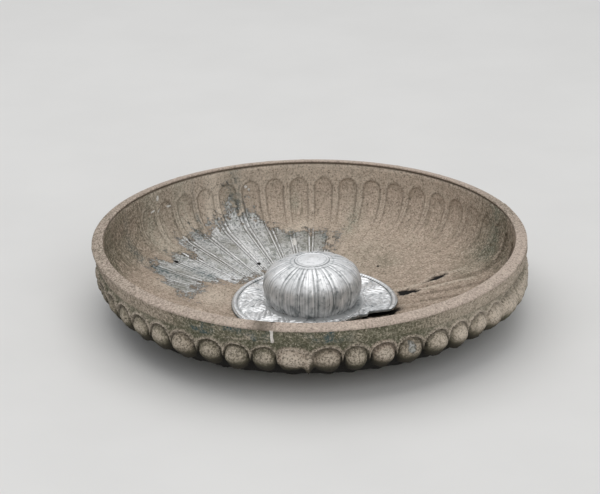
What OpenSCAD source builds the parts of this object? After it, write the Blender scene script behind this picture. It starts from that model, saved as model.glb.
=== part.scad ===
// Phiale: a shallow libation bowl of sheet silver with a tongued wall.
// A hollow melon boss stands on a leaf collar, over the finger hollow in the floor.
// Millimetres, +Z up. The origin is the centre of the ring that the bowl rests on.
// The front of the bowl faces -Y, and turns are counted from there towards +X.

/* [Bowl] */
// Diameter over the lip
bowl_d = 160; // [156:1:190]
// Height from the rest ring to the crown of the lip
bowl_h = 30; // [29:0.5:36]
// Thickness of the bowl's sheet
sheet_t = 1.4; // [1:0.1:1.8]
// Outside radius of the shoulder between wall and floor
shoulder_r = 16; // [14:0.5:17]
// Height of the upright wall, from the lip's crown down to the shoulder
wall_h = 9; // [8.5:0.1:10]
// Flat floor left clear round the collar
seat_margin = 1; // [0.5:0.1:3]

/* [Lip] */
// Width of the rounded lip
lip_w = 4.2; // [3.8:0.1:5]
// How far the lip stands out past the wall
lip_reach = 2.2; // [1.8:0.1:2.6]
// Height of the plain band, from the lip's crown down
band_h = 6.2; // [5.5:0.1:6.6]
// How far the plain band stands out past the wall
band_reach = 1; // [0.6:0.1:1.6]

/* [Tongues] */
// Number of tongues round the bowl
tongue_count = 48; // [36:1:48]
// Turn of the first tongue from the front, in degrees
tongue_turn = 3; // [0:0.5:7]
// Depth of the heads' centres below the lip's crown
head_depth = 11.4; // [11:0.1:12.4]
// Radius of a tongue's round head outside
head_r = 4.8; // [4.4:0.1:4.9]
// Radius of a tongue's body round the shoulder
tongue_r = 4; // [3.6:0.1:4.1]
// How far the tongues stand out past the wall
tongue_rise = 2.2; // [1.6:0.1:2.4]
// Radius of a flute's round head inside
flute_head_r = 4.4; // [4.2:0.1:4.6]
// Radius of a flute's body round the shoulder
flute_r = 3.8; // [3.4:0.1:3.9]
// Depth of the flutes inside
flute_depth = 1.2; // [0.6:0.1:1.4]
// Radius of the tails' ends, for tongues and flutes
tail_r = 1.2; // [0.9:0.1:1.4]
// Length of floor left plain between the rest ring and the tails
tail_gap = 5; // [4:0.5:8]

/* [Finger hollow] */
// Height of the hollow above the rest ring
hollow_h = 8; // [7:0.2:9]

/* [Collar] */
// Diameter of the leaf collar round the boss
collar_d = 62; // [56:0.5:66]
// Thickness of the collar
collar_t = 1.3; // [0.8:0.1:1.8]
// Number of leaves on the collar
leaf_count = 16; // [12:1:18]
// Width of a leaf
leaf_w = 4.6; // [3.6:0.1:5]
// Height of the leaves above the collar
leaf_h = 0.5; // [0.3:0.1:0.8]
// Gap between a leaf's tips and what they point at
leaf_gap = 0.4; // [0.2:0.1:1]
// Width of the half-round wire that borders the collar
wire_w = 1.8; // [1.4:0.1:2.2]
// Collar left bare outside the border wire
wire_margin = 0.3; // [0.2:0.1:1]

/* [Boss] */
// Largest diameter of the melon boss
boss_d = 35.6; // [34.6:0.2:38]
// Diameter of the boss at its foot
boss_foot_d = 31; // [30:0.1:32]
// Height of the boss from its foot to its flat crown
boss_h = 15; // [14:0.1:17]
// Thickness of the boss's sheet
boss_t = 1; // [0.8:0.1:1.2]
// Number of lobes round the boss
boss_lobes = 16; // [12:1:20]
// Turn of the first groove between lobes from the front, in degrees
boss_turn = 5; // [0:0.5:11]
// Width of a groove between lobes
groove_w = 1.2; // [0.8:0.1:1.5]

/* [Cap] */
// Diameter of the cap on the boss
cap_d = 15.4; // [13:0.1:16]
// Thickness of the cap's flat plate
cap_t = 0.6; // [0.4:0.1:1]
// Width of the half-round ring on the cap
cap_ring_w = 1.4; // [1:0.1:2]
// Bare plate on each side of the ring
cap_ring_gap = 0.2; // [0.1:0.1:0.5]
// Height of the cap's domed middle above its plate
cap_dome_h = 0.8; // [0.5:0.1:1.2]

/* [Joins] */
// Thickness of the solder under the collar, the boss and the cap
solder_t = 0.3; // [0.2:0.05:0.5]
// How far the solder stops short of the edges that it joins
solder_inset = 0.2; // [0.1:0.05:0.4]
// Width of the collar that reaches inside the boss's foot
foot_seat = 0.5; // [0.2:0.1:0.8]
// Gap between the collar's hole and the dome over the finger hollow
dome_gap = 0.5; // [0.3:0.1:1]
// Turn of the filled crack in the rim from the front, in degrees
crack_turn = -9.5; // [-20:0.5:20]
// Width of the filled crack
crack_w = 1.2; // [0.8:0.1:2]
// Length of the filled crack, from the lip's crown down
crack_h = 6; // [4.5:0.1:6.5]
// Gap on each side of the fill in the crack
crack_gap = 0.05; // [0.02:0.01:0.1]

/* [Hidden] */
$fn = 128;
// How far a cutter reaches past the faces that it cuts
past = 1;
// How far the shoulder stands proud of the wall and the floor
shoulder_proud = 0.15;
// How far the flat crown of the boss is cut below its round section
crown_cut = 0.2;
// How far a tail starts inside the body that it continues
tail_lap = 1;
// How much smaller a tail starts than the body that it continues
tail_step = 0.1;
// How far a tail stands out past its face where it ends
tail_end_rise = 0.4;

bowl_r = bowl_d / 2;
lip_r = lip_w / 2;
wall_r = bowl_r - lip_reach;
wall_top = bowl_h - lip_r;
shoulder_top = bowl_h - wall_h;
collar_r = collar_d / 2;
rest_r = collar_r + seat_margin;

// Centre of the shoulder in the meridian plane, and the floor's slope below it
bend = [wall_r + shoulder_proud - shoulder_r, shoulder_top];
bend_r = shoulder_r - shoulder_proud;
floor_slope = atan2(bend.y, bend.x - rest_r) - asin(bend_r / norm(bend - [rest_r, 0]));

// Heights of what is stacked on the floor
collar_z = sheet_t + solder_t;
collar_top = collar_z + collar_t;
boss_z = collar_top + solder_t;
boss_top = boss_z + boss_h;
cap_z = boss_top + solder_t;

// Round section of the boss, which passes through its foot, its widest ring and its crown
boss_r = boss_d / 2;
foot_r = boss_foot_d / 2;
foot_lean = boss_r - foot_r;
crown_h = boss_h + crown_cut;
boss_round = crown_h + foot_lean - sqrt(2 * crown_h * foot_lean);
boss_mid = [boss_r - boss_round, boss_z + crown_h - boss_round];
foot_in_r = boss_mid.x + sqrt(pow(boss_round - boss_t, 2) - pow(boss_mid.y - boss_z, 2));

// Dome over the finger hollow, which passes through the collar's hole
collar_hole_r = foot_in_r - foot_seat;
dome_foot_r = collar_hole_r - dome_gap;
dome_r = (pow(dome_foot_r, 2) + pow(hollow_h, 2)) / (2 * hollow_h);
hollow_r = dome_r - sheet_t;
hollow_z = hollow_h - hollow_r;

cap_r = cap_d / 2;
cap_top = cap_z + cap_t;
cap_dome_r = cap_r - cap_ring_w - 2 * cap_ring_gap;

// Point of the meridian plane at an angle round the shoulder's centre
function round_bend(angle, r) = bend + r * [cos(angle), sin(angle)];

// Outer end of the flat floor, on the face at a depth inside the sheet
function flat_end(depth) = [rest_r - depth * tan(floor_slope / 2), depth];

// Point above the sloping floor, counted along the slope from the flat floor's end
function over_floor(along, above, depth) = flat_end(depth)
    + along * [cos(floor_slope), sin(floor_slope)]
    + above * [-sin(floor_slope), cos(floor_slope)];

// Turns a piece that lies along +X to the front, and on from there
module at_turn(turn) rotate([0, 0, turn - 90]) children();

// Half section of all that lies inside the sheet's face at a depth
module inside_section(depth) {
    polygon([
        [0, depth], flat_end(depth), round_bend(floor_slope - 90, bend_r - depth), bend,
        round_bend(0, bend_r - depth), [wall_r - depth, wall_top], [0, wall_top]
    ]);
    intersection() {
        translate(bend) circle(shoulder_r - depth);
        square([bowl_r, (shoulder_top + wall_top) / 2]);
    }
}

// Half section of the plain band under the lip
module band_section()
    translate([wall_r - sheet_t, bowl_h - band_h])
        square([sheet_t + band_reach, band_h - lip_r]);

module lip_ring()
    rotate_extrude() translate([bowl_r - lip_r, wall_top]) circle(lip_r, $fn = 32);

// Round bar that tapers from one point of the meridian plane to another
module taper(from, to, from_r, to_r) {
    run = to - from;
    translate([from.x, 0, from.y]) rotate([0, atan2(run.x, run.y), 0])
        cylinder(h = norm(run), r1 = from_r, r2 = to_r, $fn = 32);
}

// Tongue that stands out past the sheet's face at a depth: a round head below the band,
// a body round the shoulder and a tail that runs out on the floor
module tongue(depth, rise, head_r, body_r) {
    crest = shoulder_r - depth + rise;
    arc_r = crest - body_r;
    head_angle = asin((bowl_h - head_depth - bend.y) / (crest - head_r));
    tail_angle = floor_slope - 90;
    head = round_bend(head_angle, crest - head_r);
    tail_start_r = body_r - tail_step;
    lap = tail_lap * [cos(floor_slope), sin(floor_slope)];
    tail_start = round_bend(tail_angle, arc_r) + lap;
    tail_end = over_floor(tail_gap, tail_r - tail_end_rise, depth);
    translate([head.x, 0, head.y]) sphere(head_r, $fn = 32);
    translate([bend.x, 0, bend.y]) rotate([90, 0, 0])
        rotate_extrude(start = tail_angle, angle = head_angle - tail_angle)
            translate([arc_r, 0]) circle(body_r, $fn = 32);
    taper(tail_start, tail_end, tail_start_r, tail_r);
}

module tongues(depth, rise, head_r, body_r)
    for (i = [0 : tongue_count - 1]) at_turn(tongue_turn + i * 360 / tongue_count)
        tongue(depth, rise, head_r, body_r);

// Cut of the crack through the lip and the band, narrowed by a gap on each side
module crack_cut(gap)
    at_turn(crack_turn) translate([bowl_r - lip_w - past, gap - crack_w / 2, bowl_h - crack_h])
        cube([lip_w + 2 * past, crack_w - 2 * gap, crack_h + past]);

module bowl() color("rosybrown") difference() {
    union() {
        difference() {
            union() {
                rotate_extrude() {
                    inside_section(0);
                    band_section();
                }
                tongues(0, tongue_rise, head_r, tongue_r);
            }
            difference() {
                rotate_extrude() inside_section(sheet_t);
                translate([0, 0, hollow_z]) sphere(dome_r);
            }
            tongues(sheet_t, flute_depth, flute_head_r, flute_r);
            translate([0, 0, hollow_z]) sphere(hollow_r);
        }
        lip_ring();
    }
    crack_cut(0);
}

module crack_fill() color("ivory") intersection() {
    union() {
        rotate_extrude() difference() {
            union() {
                inside_section(0);
                band_section();
            }
            inside_section(sheet_t);
        }
        lip_ring();
    }
    crack_cut(crack_gap);
}

// Flat ring of solder, short of both edges that it joins
module solder_ring(inner_r, outer_r, z) color("dimgray") translate([0, 0, z]) difference() {
    cylinder(h = solder_t, r = outer_r - solder_inset);
    translate([0, 0, -past]) cylinder(h = solder_t + 2 * past, r = inner_r + solder_inset);
}

module collar_solder() solder_ring(collar_hole_r, collar_r, sheet_t);

module shell_solder() solder_ring(foot_in_r, foot_r, collar_top);

module cap_solder() color("dimgray") translate([0, 0, boss_top])
    cylinder(h = solder_t, r = cap_r - solder_inset);

// Pointed leaf on the collar, from the boss's foot to the border wire
module leaf() {
    inner_end = foot_r + leaf_gap;
    length = collar_r - wire_margin - wire_w - leaf_gap - inner_end;
    arc_r = (pow(length, 2) + pow(leaf_w, 2)) / (4 * leaf_w);
    translate([inner_end + length / 2, 0, collar_z + collar_t / 2])
        linear_extrude(collar_t / 2 + leaf_h) intersection() {
            translate([0, arc_r - leaf_w / 2]) circle(arc_r);
            translate([0, leaf_w / 2 - arc_r]) circle(arc_r);
        }
}

module omphalos_collar() color("silver") {
    difference() {
        translate([0, 0, collar_z]) cylinder(h = collar_t, r = collar_r);
        translate([0, 0, collar_z - past]) cylinder(h = collar_t + 2 * past, r = collar_hole_r);
    }
    for (i = [0 : leaf_count - 1]) at_turn(boss_turn + (i + 0.5) * 360 / leaf_count) leaf();
}

module collar_border_wire() color("lightgray") rotate_extrude()
    translate([collar_r - wire_margin - wire_w / 2, collar_top]) intersection() {
        circle(wire_w / 2, $fn = 48);
        translate([-wire_w, 0]) square([2 * wire_w, wire_w]);
    }

// Half section of the boss inside its sheet's face at a depth
module boss_section(depth) intersection() {
    union() {
        translate(boss_mid) circle(boss_round - depth);
        translate([0, boss_z - depth]) square([boss_mid.x, boss_h]);
    }
    translate([0, boss_z - depth]) square([boss_r, boss_h]);
}

// Groove between two lobes, along the boss's round section
module lobe_groove()
    translate([boss_mid.x, 0, boss_mid.y]) rotate([90, 0, 0])
        rotate_extrude(start = -90, angle = 180)
            translate([boss_round, 0]) circle(groove_w / 2, $fn = 24);

module omphalos_shell() color("silver") difference() {
    rotate_extrude() difference() {
        boss_section(0);
        boss_section(boss_t);
    }
    for (i = [0 : boss_lobes - 1]) at_turn(boss_turn + i * 360 / boss_lobes) lobe_groove();
}

module omphalos_cap() color("gainsboro") rotate_extrude() {
    dome_round = (pow(cap_dome_r, 2) + pow(cap_dome_h, 2)) / (2 * cap_dome_h);
    translate([0, cap_z]) square([cap_r, cap_t]);
    translate([cap_r - cap_ring_gap - cap_ring_w / 2, cap_top]) intersection() {
        circle(cap_ring_w / 2, $fn = 48);
        translate([-cap_ring_w, -cap_t / 2]) square([2 * cap_ring_w, cap_ring_w]);
    }
    intersection() {
        translate([0, cap_top + cap_dome_h - dome_round]) circle(dome_round, $fn = 360);
        translate([0, cap_z]) square([cap_r, cap_t + 2 * cap_dome_h]);
    }
}

bowl();
crack_fill();
collar_solder();
omphalos_collar();
collar_border_wire();
shell_solder();
omphalos_shell();
cap_solder();
omphalos_cap();
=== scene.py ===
"""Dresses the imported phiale: crusted bowl, leaf collar, melon boss, cap, border wire and crack fill."""

import itertools
import math

import bpy
import numpy as np
from bpy.props import FloatProperty, FloatVectorProperty, IntProperty, PointerProperty
from bpy.types import Operator, Panel, PropertyGroup
from mathutils import Euler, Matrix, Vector


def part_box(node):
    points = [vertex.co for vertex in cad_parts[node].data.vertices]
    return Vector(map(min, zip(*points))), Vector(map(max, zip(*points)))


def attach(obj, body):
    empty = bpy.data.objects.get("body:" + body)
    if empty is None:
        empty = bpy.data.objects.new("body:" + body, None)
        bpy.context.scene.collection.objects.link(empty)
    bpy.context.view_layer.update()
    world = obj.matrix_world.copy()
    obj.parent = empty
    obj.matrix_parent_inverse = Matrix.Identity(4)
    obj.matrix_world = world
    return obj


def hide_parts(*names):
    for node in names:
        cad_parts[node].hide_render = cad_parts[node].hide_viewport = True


bl_info = {
    "name": "Phiale Surfaces",
    "version": (1, 0, 0),
    "blender": (4, 5, 0),
    "location": "3D View > Sidebar > Phiale",
    "description": "Models the worn surfaces of a silver libation bowl around its packed frame",
    "category": "Add Mesh",
}

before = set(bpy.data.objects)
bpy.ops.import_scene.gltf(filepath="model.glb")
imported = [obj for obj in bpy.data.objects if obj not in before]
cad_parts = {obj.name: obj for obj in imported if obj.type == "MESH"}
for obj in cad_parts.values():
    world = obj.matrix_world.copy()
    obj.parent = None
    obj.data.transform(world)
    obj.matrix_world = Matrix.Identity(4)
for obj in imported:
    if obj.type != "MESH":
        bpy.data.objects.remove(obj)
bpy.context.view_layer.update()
BODY = "root"
MM = 0.001

BOWL_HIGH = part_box("bowl")[1]
COLLAR_LOW, COLLAR_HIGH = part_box("omphalos_collar")
BOSS_LOW, BOSS_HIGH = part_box("omphalos_shell")
CAP_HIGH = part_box("omphalos_cap")[1]
FILL_LOW, FILL_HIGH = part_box("crack_fill")


# Settings

def length(name, default, description):
    """One size in metres."""
    return FloatProperty(name=name, description=description, default=default, unit="LENGTH", precision=5)


def angle(name, degrees, description):
    """One angle, given in degrees."""
    return FloatProperty(name=name, description=description, default=math.radians(degrees), subtype="ANGLE")


def count(name, default, description):
    """One whole number."""
    return IntProperty(name=name, description=description, default=default, min=1)


def colour(name, default, description):
    """One linear colour."""
    return FloatVectorProperty(
        name=name, description=description, default=default, subtype="COLOR", size=3, min=0.0, max=1.0
    )


class PhialeBowlSizes(PropertyGroup):
    """Sizes of the bowl's sheet, rim and tongues"""

    radius: length("Radius", BOWL_HIGH[0], "Outer radius of the lip")
    height: length("Height", BOWL_HIGH[2], "Height of the lip's crown above the resting plane")
    sheet: length("Sheet", 1.4 * MM, "Thickness of the silver sheet")
    lip_reach: length("Lip reach", 2.2 * MM, "How far the lip stands out from the wall")
    lip_width: length("Lip width", 4.2 * MM, "Width of the lip")
    lip_depth: length("Lip depth", 1.0 * MM, "Thickness of the lip")
    lip_slope: angle("Lip slope", 12.0, "How far the lip's top slopes outwards")
    band_height: length("Band height", 7.6 * MM, "Height of the plain band with the lip")
    band_reach: length("Band reach", 0.9 * MM, "How far the band stands out from the wall")
    shoulder: length("Shoulder", 15.85 * MM, "Radius of the turn from floor to wall")
    shoulder_drop: length("Shoulder drop", 9.0 * MM, "Depth of the shoulder's top below the crown")
    rest_radius: length("Rest radius", 32.0 * MM, "Outer radius of the ring that the bowl rests on")
    hollow_radius: length("Hollow radius", 12.2 * MM, "Radius of the finger hollow at the resting plane")
    hollow_height: length("Hollow height", 8.0 * MM, "Height of the finger hollow")
    tongues: count("Tongues", 48, "Number of tongues round the bowl")
    tongue_turn: angle("Tongue turn", 3.0, "Turn of the first tongue from the front")
    tongue_rise: length("Tongue rise", 3.4 * MM, "Height of a tongue above the wall")
    head_drop: length("Head drop", 12.7 * MM, "Depth of the tongues' head centres below the crown")
    frame_rise: length("Frame rise", 1.1 * MM, "Height of the arched frames round the tongues")
    flute_drop: length("Flute drop", 10.8 * MM, "Depth of the flutes' head centres below the crown")
    flute_depth: length("Flute depth", 0.7 * MM, "Depth of the flutes inside")
    crust: length("Crust", 0.5 * MM, "Thickness of the crust inside")
    sway: length("Sway", 0.75 * MM, "How far the rim dips at the front and rises at the sides")
    back_rise: length("Back rise", 0.35 * MM, "How far the rim rises at the back")


class PhialeBossSizes(PropertyGroup):
    """Sizes of the boss, its cap and its collar"""

    lobes: count("Lobes", 16, "Number of lobes of the boss")
    lobe_turn: angle("Lobe turn", 5.0, "Turn of the first fillet from the front")
    lobe_depth: length("Lobe depth", 0.45 * MM, "Depth of the hollows between the lobes")
    foot_radius: length("Foot radius", 15.8 * MM, "Radius of the boss's foot")
    foot_angle: angle("Foot angle", -30.6, "Place of the foot on the boss's curve")
    crown: length("Crown", CAP_HIGH[2] - 0.25 * MM, "Height of the top of the boss's curve")
    shell: length("Shell", 1.0 * MM, "Thickness of the boss's sheet")
    leaves: count("Leaves", 14, "Number of leaves on the collar")
    leaf_rise: length("Leaf rise", 0.5 * MM, "Height of the leaves")
    leaf_row: length("Leaf row", 2.2 * MM, "Spacing of the slanting lobes of a leaf")
    wire_width: length("Wire width", 1.8 * MM, "Width of the collar's border wire")
    beads: count("Beads", 150, "Number of nicks round the border wire")


class PhialeColours(PropertyGroup):
    """Colours of the finishes"""

    crust: colour("Crust", (0.475, 0.368, 0.29), "Pinkish brown crust")
    # Pale crust is also painted light on the heads' upper parts, the arches and the flutes' rims.
    crust_pale: colour("Pale crust", (0.70, 0.60, 0.49), "Worn and powdery crust")
    # Dark crust is also painted shade round, under and on the lower halves of the heads, on the spandrels,
    # under the lip and along the flutes.
    crust_dark: colour("Dark crust", (0.07, 0.06, 0.04), "Dirt in hollows and specks")
    lip: colour("Lip", (0.53, 0.43, 0.36), "Pinkish crust on the lip")
    # Band colour is also painted shade on the spandrels between the arches.
    band: colour("Band", (0.16, 0.165, 0.105), "Green grey crust on the band and tongues")
    olive: colour("Olive", (0.15, 0.135, 0.085), "Olive brown crust on the side walls")
    teal: colour("Teal", (0.06, 0.10, 0.105), "Copper green patches")
    green: colour("Green", (0.20, 0.215, 0.16), "Grey green patches of the crust")
    fleck: colour("Fleck", (0.80, 0.78, 0.74), "Pale flecks of filler")
    # Hole colour is black for the tears and holes and the shade in them, and painted shadow under the
    # collar's torn edge and round and under the heads.
    hole: colour("Hole", (0.006, 0.005, 0.004), "Open tears and holes")
    bare: colour("Bare", (0.72, 0.72, 0.71), "Bared silver inside the bowl")
    # Silver is also a painted highlight on bright patches of bared silver.
    silver: colour("Silver", (0.91, 0.91, 0.91), "Clean silver")
    # Tarnish is also painted shade on the boss's lower half and inside, and on the collar's foot ring and
    # under faces.
    tarnish: colour("Tarnish", (0.15, 0.168, 0.172), "Tarnish in the relief")
    solder: colour("Solder", (0.20, 0.165, 0.13), "Dull brown solder")
    floor: colour("Floor", (0.74, 0.73, 0.71), "Pale studio floor")


class PhialeStage(PropertyGroup):
    """Camera and light"""

    distance: length("Distance", 800.0 * MM, "Distance of the camera from the lip's centre")
    elevation: angle("Elevation", 22.55, "Height of the camera above the horizon")
    pan: angle("Pan", 0.248, "Turn of the camera to the left of the lip's centre")
    tilt: angle("Tilt", 0.340, "Tilt of the camera below the lip's centre")
    roll: angle("Roll", -0.604, "Roll of the camera")
    lens: FloatProperty(name="Lens", description="Focal length", default=130.28, unit="CAMERA")
    key_power: FloatProperty(name="Key", description="Power of the main lamp", default=5.6, subtype="POWER")
    fill_power: FloatProperty(name="Fill", description="Power of the fill lamp", default=4.4, subtype="POWER")


# Noise and small helpers

NOISE_SIZE = 4096
NOISE_TABLE = np.random.default_rng(1748).random(NOISE_SIZE)
NOISE_STEPS = np.array((1619, 31337, 6971))
NOISE_FOLD = 7
SEED_STEP = 977
LAYERS_PEAK = 1.4


def value_noise(points, cell, seed):
    """Smooth noise from -1 to 1 at the points, with a feature size of cell millimetres."""
    place = points / (cell * MM)
    low = np.floor(place).astype(np.int64)
    share = place - low
    share = share * share * (3.0 - 2.0 * share)
    total = np.zeros(points.shape[:-1])
    for corner in itertools.product((0, 1), repeat=3):
        index = ((low + corner) * NOISE_STEPS).sum(-1) + seed * SEED_STEP
        mixed = (index ^ (index >> NOISE_FOLD)) % NOISE_SIZE
        weight = np.where(np.array(corner) == 1, share, 1.0 - share).prod(-1)
        total += weight * NOISE_TABLE[mixed]
    return total * 2.0 - 1.0


def rough_noise(points, grain):
    """Layered noise from about -1 to 1, of a grain: feature size in millimetres, layers and seed."""
    cell, layers, seed = grain
    total = np.zeros(points.shape[:-1])
    for layer in range(layers):
        total += value_noise(points, cell / 2.0**layer, seed + layer) / 2.0**layer
    return total / LAYERS_PEAK


def smooth_step(value, low, high):
    """0 at low, 1 at high and smooth between, also with low above high."""
    share = np.clip((value - low) / (high - low), 0.0, 1.0)
    return share * share * (3.0 - 2.0 * share)


def bell(value, width):
    """1 at zero, falling smoothly over about width."""
    return np.exp(-((value / width) ** 2))


def step_mm(value, low, high):
    """Smooth step between two limits in millimetres."""
    return smooth_step(value, low * MM, high * MM)


def bell_mm(value, width):
    """Bell over a width in millimetres."""
    return bell(value, width * MM)


def turn_gap(turn, middle):
    """Signed angle from middle to turn, in radians."""
    return (turn - middle + math.pi) % math.tau - math.pi


def bell_turn(turn, middle, width):
    """Bell round a turn, with its middle and width in degrees."""
    return bell(turn_gap(turn, math.radians(middle)), math.radians(width))


def by_turn(turn, table):
    """Value at each turn from a table of turns in degrees and values."""
    return np.interp(np.degrees(turn_gap(turn, 0.0)), *zip(*table))


def arc(centre, radius, start, end, steps):
    """Points of an arc in the section's plane, with angles in degrees."""
    around = np.radians(np.linspace(start, end, steps))
    return np.stack((centre[0] + radius * np.cos(around), centre[1] + radius * np.sin(around)), 1)


def line(start, end, steps):
    """Points of a straight stretch in the section's plane."""
    return np.linspace(start, end, steps)


SAME_POINT = 0.01 * MM


class Section:
    """Rows of a half section, each with its radius, height, outward normal, run and zone."""

    def __init__(self, stretches, closed=False):
        points = []
        zones = []
        for zone, stretch in stretches:
            for point in stretch:
                if points and np.hypot(*(point - points[-1])) < SAME_POINT:
                    continue
                points.append(point)
                zones.append(zone)
        places = np.array(points)
        if closed:
            steps = np.roll(places, -1, 0) - places
            back = np.roll(steps, 1, 0)
        else:
            steps = np.diff(places, axis=0, append=2.0 * places[-1:] - places[-2:-1])
            back = np.vstack((steps[:1], steps[:-1]))
        steps = steps / np.hypot(steps[:, 0], steps[:, 1])[:, None]
        back = back / np.hypot(back[:, 0], back[:, 1])[:, None]
        along = steps + back
        along /= np.hypot(along[:, 0], along[:, 1])[:, None]
        self.radius = places[:, 0:1]
        self.height = places[:, 1:2]
        self.out_radius = along[:, 1:2]
        self.out_height = -along[:, 0:1]
        gaps = np.hypot(*np.diff(places, axis=0).T)
        self.run = np.concatenate(((0.0,), np.cumsum(gaps)))[:, None]
        self.zone = np.array(zones)[:, None]

    def within(self, *zones):
        """1 on the rows of these zones and 0 elsewhere."""
        return np.isin(self.zone, zones).astype(float)

    def run_at(self, height, *zones):
        """Run of the row of these zones that lies nearest to a height."""
        rows = np.where(np.isin(self.zone, zones), np.abs(self.height - height), np.inf)
        return self.run[np.argmin(rows), 0]

    def places(self, turn, lift):
        """Points of the revolved rows, lifted along their normals. Turn 0 is the front, then towards +X."""
        radius = self.radius + self.out_radius * lift
        height = self.height + self.out_height * lift
        return np.stack((radius * np.sin(turn), -radius * np.cos(turn), height + 0.0 * turn), -1)


def skin(name, rows, masks, ends="poles"):
    """Smooth mesh object over a grid of rows round the axis, closed with two poles or into a ring."""
    ring_count, column_count = rows.shape[:2]
    points = rows.reshape(-1, 3)
    ring = np.arange(ring_count if ends == "ring" else ring_count - 1)[:, None]
    column = np.arange(column_count)[None, :]
    following = (ring + 1) % ring_count
    beside = (column + 1) % column_count
    corners = (
        ring * column_count + column,
        ring * column_count + beside,
        following * column_count + beside,
        following * column_count + column,
    )
    quads = np.stack(np.broadcast_arrays(*corners), -1)
    faces = quads.reshape(-1, 4).tolist()
    values = {key: np.broadcast_to(mask, rows.shape[:2]).ravel() for key, mask in masks.items()}
    if ends == "poles":
        first = len(points)
        last_row = (ring_count - 1) * column_count
        points = np.vstack((points, rows[0].mean(0), rows[-1].mean(0)))
        around = range(column_count)
        faces += [(first, (c + 1) % column_count, c) for c in around]
        faces += [(last_row + c, last_row + (c + 1) % column_count, first + 1) for c in around]
        values = {
            key: np.concatenate((mask, (mask[:column_count].mean(), mask[last_row:].mean())))
            for key, mask in values.items()
        }
    return solid(name, points, faces, values)


def solid(name, points, faces, values):
    """Smooth mesh object with point masks."""
    mesh = bpy.data.meshes.new(name)
    mesh.from_pydata(points.tolist(), [], faces)
    mesh.polygons.foreach_set("use_smooth", np.ones(len(mesh.polygons), bool))
    for key, value in values.items():
        layer = mesh.attributes.new(key, "FLOAT", "POINT")
        layer.data.foreach_set("value", np.clip(value, 0.0, 1.0).astype(np.float32))
    mesh.validate()
    obj = bpy.data.objects.new(name, mesh)
    bpy.context.scene.collection.objects.link(obj)
    return obj


def strip(name, rows, dirt):
    """Smooth mesh object swept from a closed section, with a row for each of its points and two flat ends."""
    index = np.arange(rows[..., 0].size).reshape(rows.shape[:2])
    following = np.roll(index, -1, 0)
    quads = np.stack((index[:, :-1], index[:, 1:], following[:, 1:], following[:, :-1]), -1)
    faces = quads.reshape(-1, 4).tolist()
    faces.append(index[:, 0].tolist())
    faces.append(index[::-1, -1].tolist())
    spread = np.broadcast_to(dirt, rows.shape[:2]).ravel()
    return solid(name, rows.reshape(-1, 3), faces, {"dirt": spread})


def place_piece(obj, finish, node):
    """Gives a piece its finish and its body, and hides the imported node that it stands for."""
    obj.data.materials.append(finish.material)
    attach(obj, BODY)
    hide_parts(node)


# Finishes

OVAL_EDGE = (1.2, 0.8)
PATCHY = (0.36, 0.56)


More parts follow.
